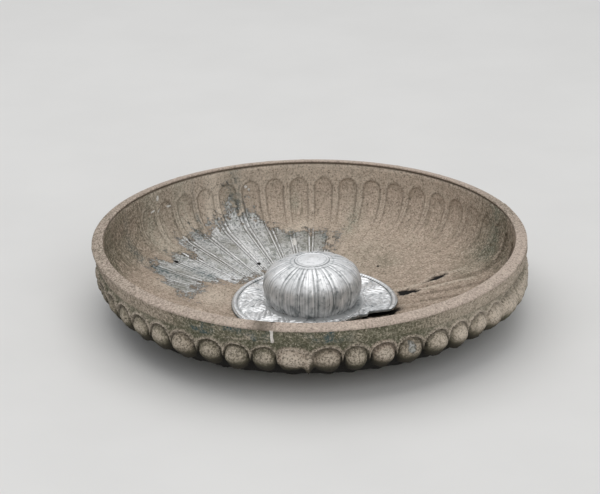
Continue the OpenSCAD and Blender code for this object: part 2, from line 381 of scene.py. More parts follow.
class Finish:
    """Node tree of one procedural finish."""

    def __init__(self, name, roughness=0.6):
        self.material = bpy.data.materials.new(name)
        self.material.use_nodes = True
        self.tree = self.material.node_tree
        self.tree.nodes.clear()
        self.shader = self.node("ShaderNodeBsdfPrincipled")
        self.put("Roughness", roughness)
        output = self.node("ShaderNodeOutputMaterial")
        self.tree.links.new(self.shader.outputs["BSDF"], output.inputs["Surface"])
        self.place = self.node("ShaderNodeTexCoord").outputs["Object"]

    def node(self, kind, **settings):
        """New node with its settings."""
        made = self.tree.nodes.new(kind)
        for key, value in settings.items():
            setattr(made, key, value)
        return made

    def join(self, value, socket):
        """Links a socket, or sets a constant on it."""
        if isinstance(value, bpy.types.NodeSocket):
            self.tree.links.new(value, socket)
        elif socket.type == "RGBA":
            socket.default_value = (*value, 1.0)
        else:
            socket.default_value = value

    def put(self, name, value):
        """Sets or links one of the shader's own sockets."""
        self.join(value, self.shader.inputs[name])

    def mask(self, name):
        """Point mask stored on the mesh."""
        return self.node("ShaderNodeAttribute", attribute_name=name).outputs["Fac"]

    def grain(self, cell, detail=3.0, roughness=0.55):
        """Noise from 0 to 1 with a feature size of cell metres."""
        noise = self.node("ShaderNodeTexNoise")
        self.join(self.place, noise.inputs["Vector"])
        noise.inputs["Scale"].default_value = 1.0 / cell
        noise.inputs["Detail"].default_value = detail
        noise.inputs["Roughness"].default_value = roughness
        return noise.outputs["Fac"]

    def rays(self, cell, stretch, around=60.0 * MM):
        """Noise from 0 to 1 drawn out along the radii, cell metres wide at one radius."""
        flat = self.node("ShaderNodeVectorMath", operation="MULTIPLY")
        self.join(self.place, flat.inputs[0])
        flat.inputs[1].default_value = (-1.0, -1.0, 0.0)
        parts = self.node("ShaderNodeSeparateXYZ")
        self.join(flat.outputs["Vector"], parts.inputs["Vector"])
        turn = self.node("ShaderNodeMath", operation="ARCTAN2")
        self.join(parts.outputs["Y"], turn.inputs[0])
        self.join(parts.outputs["X"], turn.inputs[1])
        reach = self.node("ShaderNodeVectorMath", operation="LENGTH")
        self.join(flat.outputs["Vector"], reach.inputs[0])
        polar = self.node("ShaderNodeCombineXYZ")
        self.join(self.scaled(turn.outputs["Value"], around / cell), polar.inputs["X"])
        self.join(self.scaled(reach.outputs["Value"], 1.0 / (cell * stretch)), polar.inputs["Y"])
        noise = self.node("ShaderNodeTexNoise")
        self.join(polar.outputs["Vector"], noise.inputs["Vector"])
        noise.inputs["Scale"].default_value = 1.0
        noise.inputs["Detail"].default_value = 3.0
        return noise.outputs["Fac"]

    def scaled(self, value, factor):
        """A value times a constant, without limits."""
        step = self.node("ShaderNodeMath", operation="MULTIPLY")
        self.join(value, step.inputs[0])
        step.inputs[1].default_value = factor
        return step.outputs["Value"]

    def oval(self, place, sizes, turn=0.0, tilt=0.0):
        """1 within an oval with half sizes across, outwards and up, turned and tilted by degrees."""
        frame_of = self.node("ShaderNodeMapping", vector_type="TEXTURE")
        self.join(self.place, frame_of.inputs["Vector"])
        frame_of.inputs["Location"].default_value = place
        frame_of.inputs["Rotation"].default_value = (0.0, math.radians(tilt), math.radians(turn + 180.0))
        frame_of.inputs["Scale"].default_value = sizes
        gap = self.node("ShaderNodeVectorMath", operation="LENGTH")
        self.join(frame_of.outputs["Vector"], gap.inputs[0])
        return self.between(gap.outputs["Value"], *OVAL_EDGE)

    def between(self, value, low, high, start=0.0, end=1.0):
        """Maps a value smoothly from low..high to start..end."""
        ramp = self.node("ShaderNodeMapRange", interpolation_type="SMOOTHSTEP")
        self.join(value, ramp.inputs["Value"])
        ramp.inputs["From Min"].default_value = low
        ramp.inputs["From Max"].default_value = high
        ramp.inputs["To Min"].default_value = start
        ramp.inputs["To Max"].default_value = end
        return ramp.outputs["Result"]

    def held(self, operation, first, second):
        """One math step, held between 0 and 1."""
        step = self.node("ShaderNodeMath", operation=operation, use_clamp=True)
        self.join(first, step.inputs[0])
        self.join(second, step.inputs[1])
        return step.outputs["Value"]

    def times(self, first, second):
        """Product, held between 0 and 1."""
        return self.held("MULTIPLY", first, second)

    def plus(self, first, second):
        """Sum, held between 0 and 1."""
        return self.held("ADD", first, second)

    def mix(self, share, first, second):
        """Mixes two colours."""
        mixer = self.node("ShaderNodeMix", data_type="RGBA")
        self.join(share, mixer.inputs["Factor"])
        self.join(first, mixer.inputs[6])
        self.join(second, mixer.inputs[7])
        return mixer.outputs[2]

    def covered(self, base, *covers):
        """A base colour under covers, each of them a share and a colour."""
        for share, cover in covers:
            base = self.mix(share, base, cover)
        return base

    def bump(self, height, depth):
        """Fine relief of depth metres."""
        bump = self.node("ShaderNodeBump")
        bump.inputs["Distance"].default_value = depth
        self.join(height, bump.inputs["Height"])
        self.put("Normal", bump.outputs["Normal"])


def crust_tone(finish, colours, grains):
    """Pinkish brown crust with olive, green and powdery parts and dark pits."""
    broad, middle, fine, rays = grains
    lip = finish.mask("lip")
    blotches = finish.between(middle, 0.6, 0.38, 0.0, 0.35)
    olive_parts = finish.times(finish.mask("olive"), finish.between(broad, 0.25, 0.6))
    green_parts = finish.times(finish.mask("green"), finish.between(middle, *PATCHY))
    powder = finish.times(finish.between(fine, 0.5, 0.66), finish.between(middle, 0.3, 0.6))
    chalky = finish.between(broad, 0.5, 0.72, 0.0, 0.3)
    streaks = finish.between(rays, 0.42, 0.25, 0.0, 0.45)
    off_lip = finish.between(lip, 0.0, 1.0, 1.0, 0.75)
    pits = finish.times(finish.between(fine, 0.47, 0.3, 0.0, 0.85), off_lip)
    deep_pits = finish.times(finish.mask("pitted"), finish.between(fine, 0.53, 0.4, 0.0, 0.9))
    specks = finish.between(finish.grain(0.5 * MM, 2.0), 0.42, 0.3, 0.0, 0.7)
    return finish.covered(
        colours.crust,
        (blotches, colours.olive),
        (lip, colours.lip),
        (olive_parts, colours.olive),
        # The band mask also paints shade on the spandrels between the arches.
        (finish.mask("band"), colours.band),
        (green_parts, colours.green),
        (finish.times(powder, 0.8), colours.crust_pale),
        (chalky, colours.crust_pale),
        # The worn mask is pale wear and painted light on the heads' upper parts, the arches and the flutes'
        # rims.
        (finish.mask("worn"), colours.crust_pale),
        (streaks, colours.olive),
        (finish.held("MAXIMUM", pits, deep_pits), colours.crust_dark),
        (finish.times(specks, off_lip), colours.crust_dark),
    )


def bare_tone(finish, colours, grains):
    """Bared silver with tarnish, bright scratches and double ridges between dark grooves."""
    middle, fine, rays = grains[1:]
    aside = finish.mask("aside")
    clouds = finish.between(middle, 0.46, 0.64, 0.0, 0.6)
    tarnish = finish.between(fine, 0.52, 0.38, 0.0, 0.85)
    scratches = finish.between(rays, 0.52, 0.68, 0.0, 0.8)
    shade = finish.times(finish.mask("shade"), finish.between(middle, 0.25, 0.5, 0.5, 1.0))
    # Bright patches: clean silver with a painted highlight.
    bright = finish.times(finish.mask("bright"), finish.between(fine, 0.35, 0.5))
    groove = finish.plus(finish.between(aside, 0.88, 0.98), finish.between(aside, 0.73, 0.69))
    groove = finish.times(groove, finish.between(aside, 0.58, 0.66))
    ridge = finish.times(finish.between(aside, 0.7, 0.75), finish.between(aside, 0.88, 0.82))
    return finish.covered(
        colours.bare,
        (clouds, colours.green),
        (tarnish, colours.tarnish),
        (scratches, colours.silver),
        (shade, colours.olive),
        (bright, colours.silver),
        (finish.times(groove, 0.65), colours.crust_dark),
        (finish.times(ridge, finish.between(middle, 0.4, 0.56)), colours.silver),
    )


def crusted_silver(colours):
    """Pinkish brown crust over grey silver, with dirt and painted shade, painted light on raised parts, green
    patches, pale flecks and black holes and shadows.
    """
    finish = Finish("crusted_silver")
    broad = finish.grain(10.0 * MM, 4.0)
    middle = finish.grain(2.4 * MM, 5.0, 0.68)
    fine = finish.grain(0.8 * MM, 4.0, 0.75)
    rays = finish.rays(1.2 * MM, 9.0)
    grains = (broad, middle, fine, rays)
    crust = crust_tone(finish, colours, grains)
    bare = bare_tone(finish, colours, grains)

    edge = finish.plus(finish.mask("bare"), finish.between(middle, 0.25, 0.75, 0.0, 0.36))
    edge = finish.plus(finish.times(edge, 0.72), finish.between(fine, 0.3, 0.7, 0.0, 0.16))
    cover = finish.between(edge, 0.6, 0.54)
    shadow = finish.times(finish.between(edge, 0.55, 0.59), finish.between(edge, 0.66, 0.6))
    shadow = finish.times(shadow, finish.between(broad, 0.35, 0.65, 0.15, 0.8))
    patch = finish.times(finish.mask("teal"), finish.between(middle, *PATCHY))
    patch = finish.times(patch, finish.between(fine, 0.62, 0.45, 0.35, 1.0))
    surface = finish.covered(
        bare,
        (cover, crust),
        (shadow, colours.crust_dark),
        (patch, colours.teal),
        # The dirt mask carries dirt and painted shade.
        (finish.mask("dirt"), colours.crust_dark),
    )
    crumbly = finish.between(fine, 0.35, 0.5)
    for turn, out, up, half, tilt in FLECKS:
        around = math.radians(turn)
        place = (out * math.sin(around) * MM, -out * math.cos(around) * MM, up * MM)
        fleck = finish.oval(place, (half[0] * MM, FLECK_DEPTH, half[1] * MM), turn, tilt)
        surface = finish.mix(finish.times(fleck, crumbly), surface, colours.fleck)
    # Black in the tears, notch and pin holes, painted as the shade inside them, and painted black shadow in
    # the gap under the collar's torn edge.
    hole = finish.plus(finish.mask("hole"), finish.oval(*EDGE_GAP_SHADOW))
    for place, reach in PIN_HOLES:
        hole = finish.plus(hole, finish.oval(place, (reach, reach, reach)))
    finish.put("Base Color", finish.mix(hole, surface, colours.hole))
    finish.put("Metallic", finish.between(cover, 0.0, 0.6, 0.5, 0.0))
    finish.put("Roughness", finish.between(cover, 0.0, 0.8, 0.42, 0.85))
    finish.put("Specular IOR Level", 0.25)
    rough = finish.plus(finish.scaled(middle, 0.35), finish.scaled(fine, 0.3))
    finish.bump(finish.plus(rough, finish.scaled(cover, 0.35)), 1.1 * MM)
    return finish


def worn_silver(name, colours, wear, roughness, metal=1.0, brushed=0.0):
    """Cleaned silver with tarnish left in its relief, painted shade where the pieces put it in the dirt mask,
    and brush marks that run down from the top.
    """
    finish = Finish(name)
    broad = finish.grain(5.0 * MM, 4.0)
    middle = finish.grain(1.3 * MM, 4.0, 0.6)
    fine = finish.grain(0.35 * MM, 3.0)
    marks = finish.rays(0.55 * MM, 30.0, around=17.0 * MM)
    # The dirt mask brings tarnish and painted shade.
    dark = finish.plus(finish.mask("dirt"), finish.between(middle, 0.52, 0.78, 0.0, wear))
    dark = finish.plus(dark, finish.between(broad, 0.52, 0.75, 0.0, wear))
    dark = finish.plus(dark, finish.between(marks, 0.5, 0.7, 0.0, brushed))
    dark = finish.held("SUBTRACT", dark, finish.between(marks, 0.46, 0.3, 0.0, brushed))
    dull = finish.plus(dark, fine)
    finish.put("Base Color", finish.mix(dark, colours.silver, colours.tarnish))
    finish.put("Metallic", finish.between(dark, 0.1, 0.9, metal, 0.3 * metal))
    finish.put("Roughness", finish.between(dull, 0.3, 1.2, roughness, roughness + 0.3))
    finish.bump(finish.plus(middle, fine), 0.1 * MM)
    return finish


def pale_filler(colours):
    """Matt pale filler with dirt on it."""
    finish = Finish("pale_filler", roughness=0.85)
    spots = finish.between(finish.grain(0.9 * MM), 0.4, 0.7, 0.15, 0.8)
    stain = finish.plus(finish.mask("dirt"), spots)
    finish.put("Base Color", finish.mix(stain, colours.fleck, colours.lip))
    finish.bump(finish.grain(0.4 * MM), 0.12 * MM)
    return finish


def dull_solder(colours):
    """Dull brown solder with dark spots, with painted black shadow in the gap under the collar's torn edge.
    """
    finish = Finish("dull_solder", roughness=0.8)
    spots = finish.between(finish.grain(1.6 * MM, 5.0, 0.7), 0.42, 0.62)
    # Painted black shadow in the gap under the collar's torn edge.
    gap = finish.oval(*EDGE_GAP_SHADOW)
    tone = finish.covered(colours.solder, (spots, colours.crust_dark), (gap, colours.hole))
    finish.put("Base Color", tone)
    finish.put("Specular IOR Level", 0.1)
    finish.bump(finish.grain(0.5 * MM), 0.1 * MM)
    return finish


# Bowl

BOWL_SEED = 48
COLUMNS_PER_TONGUE = 14
TONGUE_CROWDING = 0.5
# Section, with its angles and HOLLOW_GAP in degrees and SWAY_HEIGHTS in millimetres
POLE_ANGLE = 84.0
HOLLOW_GAP = 2.0
REST_GAP = 0.3 * MM
SHOULDER_SPLIT = -36.0
INNER_SPLIT = -32.0
BAND_DROP = 2.0 * MM
LIP_EDGE_ARC = (-75.0, 80.0)
LIP_ROUND = 0.4 * MM
LIP_FACE = 0.6 * MM
UNDERCUT_STEP = (0.3 * MM, -0.2 * MM)
UNDERCUT_DROP = 1.4 * MM
INNER_WALL_DROP = 1.7 * MM
INNER_WALL_SPLIT = 7.0 * MM
SWAY_HEIGHTS = (14.0, 27.0)

# Ranges of the random draws for each tongue
HEAD_RISES = (0.85, 1.1)
HEAD_WIDTHS = (0.96, 1.04)
FLUTE_RANGE = (0.8, 1.1)
HEAD_TINTS = (0.3, 0.8)
# Heads, with weights of the distance along a tongue against that across it
HEAD_WIDTH = 0.86
HEAD_ALONG = 0.76
ARCH_ALONG = 1.13
HEAD_MIDDLE = -2.2 * MM
HEAD_SPREAD = 0.72
CRUST_OVER_HEADS = 0.75
FLAT_TONGUE = 47
FLAT_RISE = 0.75
FLAT_WIDTH = 1.2
FLAT_MIDDLE = -0.8 * MM
FLAT_TONE_DROP = 1.8 * MM
PALE_TONGUES = [2, FLAT_TONGUE]
# Relief, with BAND_GRIT in millimetres like BAND_SWELL
TAIL_WIDTH = 0.6
TAIL_RISE = 0.8 * MM
MOAT_REACH = 0.9
MOAT_DEPTH = 0.5 * MM
UNDER_HEAD_DEPTH = 0.6 * MM
FLUTE_RIDGE = 0.36 * MM
BARE_LINES = 0.4 * MM
BARE_HOLLOW = 0.3 * MM
INNER_GRIT = 0.14 * MM
BAND_GRIT = 0.3
LIP_GRIT = 0.34 * MM
LIP_LOSS = 0.1 * MM
TEAR_DEPTH = 1.3 * MM
BURR_RISE = 0.5 * MM
BURR_INSET = 0.7 * MM
NOTCH_DEPTH = 1.1 * MM
NOTCH_WIDTH = 1.1 * MM
NOTCH_INSET = 4.2 * MM
GAP_DEPTH = 1.2 * MM
GAP_START = 15.0 * MM
GAP_REACH = 17.5 * MM
GAP_RAGGED = 0.6 * MM
FLAKE_RISE = 2.6 * MM
SCALLOP = 1.1 * MM
ISLAND_RISE = 9.0 * MM
SILVER_RAGGED = 1.6 * MM
# Grains: feature size in millimetres, layers and seed
OUTER_CRUST = (2.4, 4, 3)
INNER_CRUST = (1.8, 4, 5)
BAND_CRUST = (2.0, 4, 7)
LIP_CRUST = (3.0, 4, 9)
FILL_GRAIN = (0.9, 3, 13)
SILVER_GRAIN = (6.0, 2, 21)
GAP_GRAIN = (7.0, 2, 71)
TEAL_GRAIN = (3.5, 3, 83)
# Single layers of noise: feature size in millimetres and seed
FLUTE_PATCHES = (7.0, 11)
FILL_WANDER = (1.6, 15)
BAND_SMEARS = (1.2, 81)
SMEAR_STRETCH = (0.35, 0.35, 1.0)
SMEAR_TURN = -18.0
SMEAR_WIDTH = 7.0

# Tables by turn: degrees and a value, of which TONGUE_SHIFTS gives degrees and BAND_SWELL millimetres
TONGUE_SHIFTS = (
    (-34.5, 0.0), (-27.0, 1.0), (-19.5, 0.4), (-12.0, 0.5), (-4.5, -0.8), (3.0, 1.9), (10.5, 0.8),
    (18.0, 0.9), (25.5, 0.1), (33.0, 1.4), (40.5, 0.6), (48.0, 0.4), (55.5, 0.0),
)
TONGUE_WEAR = (
    (-180.0, 0.75), (-90.0, 0.6), (-72.0, 0.36), (-60.0, 0.5), (-48.0, 0.9), (-36.0, 1.0), (50.0, 1.0),
    (60.0, 1.1), (70.0, 1.3), (95.0, 1.3), (120.0, 0.9), (180.0, 0.75),
)
CRUSTED_SIDE = (
    (-180.0, 0.0), (46.0, 0.0), (58.0, 0.45), (70.0, 1.0), (100.0, 1.0), (125.0, 0.0), (180.0, 0.0),
)
BAND_SWELL = ((-180.0, 0.0), (45.0, 0.0), (65.0, 1.1), (95.0, 1.3), (130.0, 0.0), (180.0, 0.0))
FLUTE_STRENGTH = (
    (-180.0, 0.9), (-150.0, 1.0), (-125.0, 0.9), (-112.0, 0.45), (-95.0, 0.2), (-60.0, 0.15), (0.0, 0.2),
    (45.0, 0.5), (70.0, 0.9), (100.0, 0.8), (125.0, 0.6), (150.0, 0.9), (180.0, 0.9),
)
BAND_SHOW = (
    (-180.0, 0.5), (-60.0, 0.15), (-42.0, 0.3), (-32.0, 0.9), (20.0, 0.9), (32.0, 0.6), (45.0, 0.3),
    (70.0, 0.15), (180.0, 0.5),
)
PALE_OUTSIDE = (
    (-180.0, 0.0), (-72.0, 0.0), (-56.0, 0.6), (-42.0, 0.5), (-34.0, 0.0), (27.0, 0.0), (36.0, 0.7),
    (48.0, 1.0), (66.0, 0.9), (85.0, 0.4), (110.0, 0.0), (180.0, 0.0),
)
FLOOR_LINES = ((-180.0, 0.0), (50.0, 0.0), (66.0, 1.0), (98.0, 1.0), (112.0, 0.0), (180.0, 0.0))
# Stretches by turn: middle and width in degrees, and for the teal a strength
BAND_TEAL = ((-28.5, 2.6, 2.4), (-17.0, 6.0, 1.5), (4.5, 4.5, 1.3))
OLIVE_WALLS = ((-88.0, 40.0), (107.0, 13.0))
# Bared silver: degrees from the front towards -X, and a radius in millimetres
SILVER_EDGE = (
    (95.0, 48.0), (104.0, 56.0), (109.0, 60.0), (112.0, 67.0), (116.0, 65.0), (122.0, 62.5), (128.0, 64.5),
    (138.0, 69.0), (144.0, 69.0), (149.0, 71.5), (155.0, 73.3), (160.0, 72.8), (164.0, 70.0), (167.0, 63.5),
    (172.0, 60.5), (180.0, 60.0), (189.0, 58.6),
)
SILVER_START = ((95.0, 46.0), (100.0, 43.5), (113.0, 43.0), (120.0, 40.5), (126.0, 33.0), (189.0, 31.0))
SILVER_SIDES = (93.0, 189.0)
SILVER_SCALE = 12.0 * MM
# Patches inside: turn in degrees, radius and half width in millimetres, and how much longer than wide
CRUST_ISLANDS = ((-129.5, 57.5, 2.9, 2.9), (-120.0, 63.5, 1.2, 2.5))
SILVER_SHADE = (
    (-182.0, 54.0, 9.0, 1.0), (-167.0, 57.0, 5.0, 1.0), (-136.0, 52.0, 3.0, 3.0), (-114.0, 54.0, 5.0, 1.5),
    (-103.0, 50.0, 5.0, 1.0), (-147.0, 56.0, 3.0, 1.5),
)
# Bright clean silver with a painted highlight on it.
BRIGHT_SILVER_HIGHLIGHTS = (
    (-151.6, 46.0, 2.0, 4.0), (-152.2, 57.0, 1.7, 4.0), (-130.0, 38.0, 2.0, 1.5), (-124.0, 39.0, 3.0, 1.0),
)
INNER_PALE = (
    (-127.0, 70.0, 6.0, 1.0), (-139.0, 71.0, 5.0, 1.2), (-150.0, 72.5, 4.0, 1.2), (-158.5, 71.0, 4.0, 1.0),
    (-99.0, 37.0, 8.0, 1.0), (-101.5, 55.0, 5.0, 1.0), (-172.0, 61.0, 3.0, 1.0), (-148.8, 74.5, 3.5, 1.0),
    (-178.0, 64.0, 3.5, 1.0),
)
INNER_OLIVE = (
    (150.0, 48.0, 8.0, 1.0), (138.0, 44.0, 7.0, 1.0), (115.0, 66.0, 6.0, 1.0), (106.0, 62.0, 6.0, 1.0),
)
INNER_TEAL = (
    (-112.3, 66.0, 2.2, 4.0), (-110.5, 58.0, 1.6, 4.0), (-142.9, 72.5, 0.9, 4.0), (-158.0, 74.0, 1.6, 2.0),
    (-140.5, 66.5, 2.0, 1.5), (-121.0, 47.0, 2.4, 3.0), (-173.0, 58.0, 2.0, 1.5), (-186.0, 57.5, 1.6, 1.5),
)
INNER_GREEN = (
    (110.5, 75.0, 5.0, 1.5), (-156.0, 74.5, 4.0, 2.0), (-138.0, 73.0, 4.5, 2.0), (-126.0, 71.0, 6.0, 2.0),
    (-175.5, 74.0, 2.0, 1.0), (165.0, 66.0, 3.0, 3.0),
)
# Bright spot outside: turn in degrees, height, half width, and how much taller than wide
SHINY_SPOT = (25.6, 18.3 * MM, 1.9 * MM, 1.2)
# Small holes, painted only as black dots for the shade inside them: place and radius in metres.
PIN_HOLES = (
    ((-19.7 * MM, 35.6 * MM, 2.9 * MM), 0.9 * MM),
    ((-51.4 * MM, 30.9 * MM, 6.0 * MM), 0.9 * MM),
    ((26.4 * MM, 31.4 * MM, 3.0 * MM), 0.6 * MM),
)
# Flecks inside: turn in degrees, radius, height and half sizes in millimetres, and tilt in degrees
FLECKS = (
    (-129.0, 76.4, 25.9, (0.7, 1.2), 0.0), (-133.7, 76.4, 20.6, (1.2, 0.5), 10.0),
    (-126.8, 76.4, 21.2, (1.0, 0.45), -25.0), (-129.4, 76.4, 20.6, (1.0, 0.4), -25.0),
    (-134.7, 69.4, 8.6, (0.5, 0.7), 0.0), (-160.6, 76.4, 21.0, (0.7, 0.6), 0.0),
    (-161.6, 76.4, 19.6, (0.5, 0.5), 0.0), (-173.5, 53.0, 4.8, (1.0, 1.0), 0.0),
)
FLECK_DEPTH = 3.0 * MM
FLAKE_TURN = math.radians(-0.6)
GAP_TURNS = (58.0, 66.0, 76.0, 84.0)
# Black oval painted as the shadow under the collar's lifted torn edge: place, half sizes and turn.
EDGE_GAP_SHADOW = ((22.1 * MM, -10.2 * MM, 1.6 * MM), (13.0 * MM, 2.5 * MM, 3.0 * MM), 21.7)
CRACK_TURN = math.atan2((FILL_LOW[0] + FILL_HIGH[0]) / 2.0, -(FILL_LOW[1] + FILL_HIGH[1]) / 2.0)


def bowl_section(sizes):
    """Rows of the bowl's section, from the finger hollow under the boss round to the dome over it."""
    top = sizes.height
    wall = sizes.radius - sizes.lip_reach
    bend = np.array((wall - sizes.shoulder, top - sizes.shoulder_drop))
    rest = np.array((sizes.rest_radius, 0.0))
    to_bend = bend - rest
    slope = math.degrees(math.atan2(to_bend[1], to_bend[0]) - math.asin(sizes.shoulder / np.hypot(*to_bend)))
    inner = sizes.shoulder - sizes.sheet
    shoulder_low = arc(bend, sizes.shoulder, slope - 90.0, SHOULDER_SPLIT, 9)
    shoulder_high = arc(bend, sizes.shoulder, SHOULDER_SPLIT, 0.0, 21)
    shoulder_in_high = arc(bend, inner, 0.0, INNER_SPLIT, 15)
    shoulder_in_low = arc(bend, inner, INNER_SPLIT, slope - 90.0, 9)
    floor_end = np.array((sizes.rest_radius, sizes.sheet))

    hollow = (sizes.hollow_radius**2 + sizes.hollow_height**2) / (2.0 * sizes.hollow_height)
    hollow_centre = (0.0, sizes.hollow_height - hollow)
    hollow_edge = math.degrees(math.asin((hollow - sizes.hollow_height) / hollow))
    dome = hollow + sizes.sheet
    dome_edge = math.degrees(math.asin((hollow - sizes.hollow_height + sizes.sheet) / dome))
    dome_foot = (dome * math.cos(math.radians(dome_edge)), sizes.sheet)

    rise = np.linspace(0.0, 1.0, 8)
    swell = np.sin(0.5 * math.pi * np.minimum(1.0, 2.0 * rise)) * (0.75 + 0.25 * rise)
    band_low = top - sizes.band_height
    band_top = top - BAND_DROP
    band = np.stack((wall + sizes.band_reach * swell, band_low + (band_top - band_low) * rise), 1)

    half = sizes.lip_depth / 2.0
    lip_inner = sizes.radius - sizes.lip_width
    lip_edge = top - sizes.lip_width * math.tan(sizes.lip_slope)
    lip_out = arc((sizes.radius - half, lip_edge - half), half, *LIP_EDGE_ARC, 6)
    lip_in = arc((lip_inner + LIP_ROUND, top - LIP_ROUND), LIP_ROUND, 90.0, 180.0, 4)
    lip_low = np.array((lip_inner, top - LIP_FACE))
    inner_wall = wall - sizes.sheet
    wall_split = (inner_wall, top - INNER_WALL_SPLIT)
    return Section((
        ("hollow", arc(hollow_centre, hollow, POLE_ANGLE, hollow_edge + HOLLOW_GAP, 5)),
        ("rest", line((sizes.hollow_radius + REST_GAP, 0.0), rest, 3)),
        ("under", line(rest, shoulder_low[0], 9)),
        ("shoulder", shoulder_low),
        ("shoulder", shoulder_high),
        ("wall", line(shoulder_high[-1], (wall, band_low), 4)),
        ("band", band),
        ("lip", lip_out),
        ("lip", line(lip_out[-1], lip_in[0], 6)),
        ("lip", lip_in),
        ("lip", line(lip_in[-1], lip_low, 2)),
        ("undercut", line(lip_low + UNDERCUT_STEP, (inner_wall, top - UNDERCUT_DROP), 3)),
        ("inner_wall", line((inner_wall, top - INNER_WALL_DROP), wall_split, 5)),
        ("inner_wall", line(wall_split, shoulder_in_high[0], 5)),
        ("inner_shoulder", shoulder_in_high),
        ("inner_shoulder", shoulder_in_low),
        ("floor", line(shoulder_in_low[-1], floor_end, 24)),
        ("seat", line(floor_end, dome_foot, 5)),
        ("dome", arc(hollow_centre, dome, dome_edge, POLE_ANGLE, 4)),
    ))


def sway(sizes, rows):
    """Rows with the rim dipped at the front and raised at the sides and the back."""
    across, along, height = np.moveaxis(rows, -1, 0)
    share = (across**2 - along**2) / (across**2 + along**2)
    end = np.where(along > 0.0, sizes.back_rise, -sizes.sway)
    bend = 0.5 * (sizes.sway + end) + 0.5 * (sizes.sway - end) * share
    return np.stack((across, along, height + bend * step_mm(height, *SWAY_HEIGHTS)), -1)


def crowded(parts, columns, pull):
    """Places from 0 to the number of parts, closer together at the edges of every part."""
    share = np.arange(parts * columns) / columns
    local = share - np.floor(share) - 0.5
    return np.floor(share) + 0.5 + local + pull * np.sin(math.tau * local) / math.tau


def tongue_columns(sizes):
    """Even turn of every column, and its turn on the uneven bowl."""
    steps = crowded(sizes.tongues, COLUMNS_PER_TONGUE, TONGUE_CROWDING)
    even = (sizes.tongue_turn + (steps - 0.5) * math.tau / sizes.tongues)[None, :]
    return even, even + np.radians(by_turn(even, TONGUE_SHIFTS))


class Tongues:
    """Place of every point of the bowl within its tongue."""

    def __init__(self, section, even, sizes):
        pitch = math.tau / sizes.tongues
        step = np.round((even - sizes.tongue_turn) / pitch)
        self.number = step.astype(int) % sizes.tongues
        self.half = section.radius * pitch / 2.0
        self.across = (even - sizes.tongue_turn - step * pitch) * section.radius
        self.aside = np.abs(self.across) / self.half
        self.climb = section.run - section.run_at(sizes.height - sizes.head_drop, "shoulder", "wall")
        self.climb_inside = section.run_at(sizes.height - sizes.flute_drop, "inner_shoulder") - section.run
        self.reach = np.hypot(self.across, np.maximum(ARCH_ALONG * self.climb, 0.0))
        self.share_inside = np.hypot(self.across, np.maximum(self.climb_inside, 0.0)) / self.half


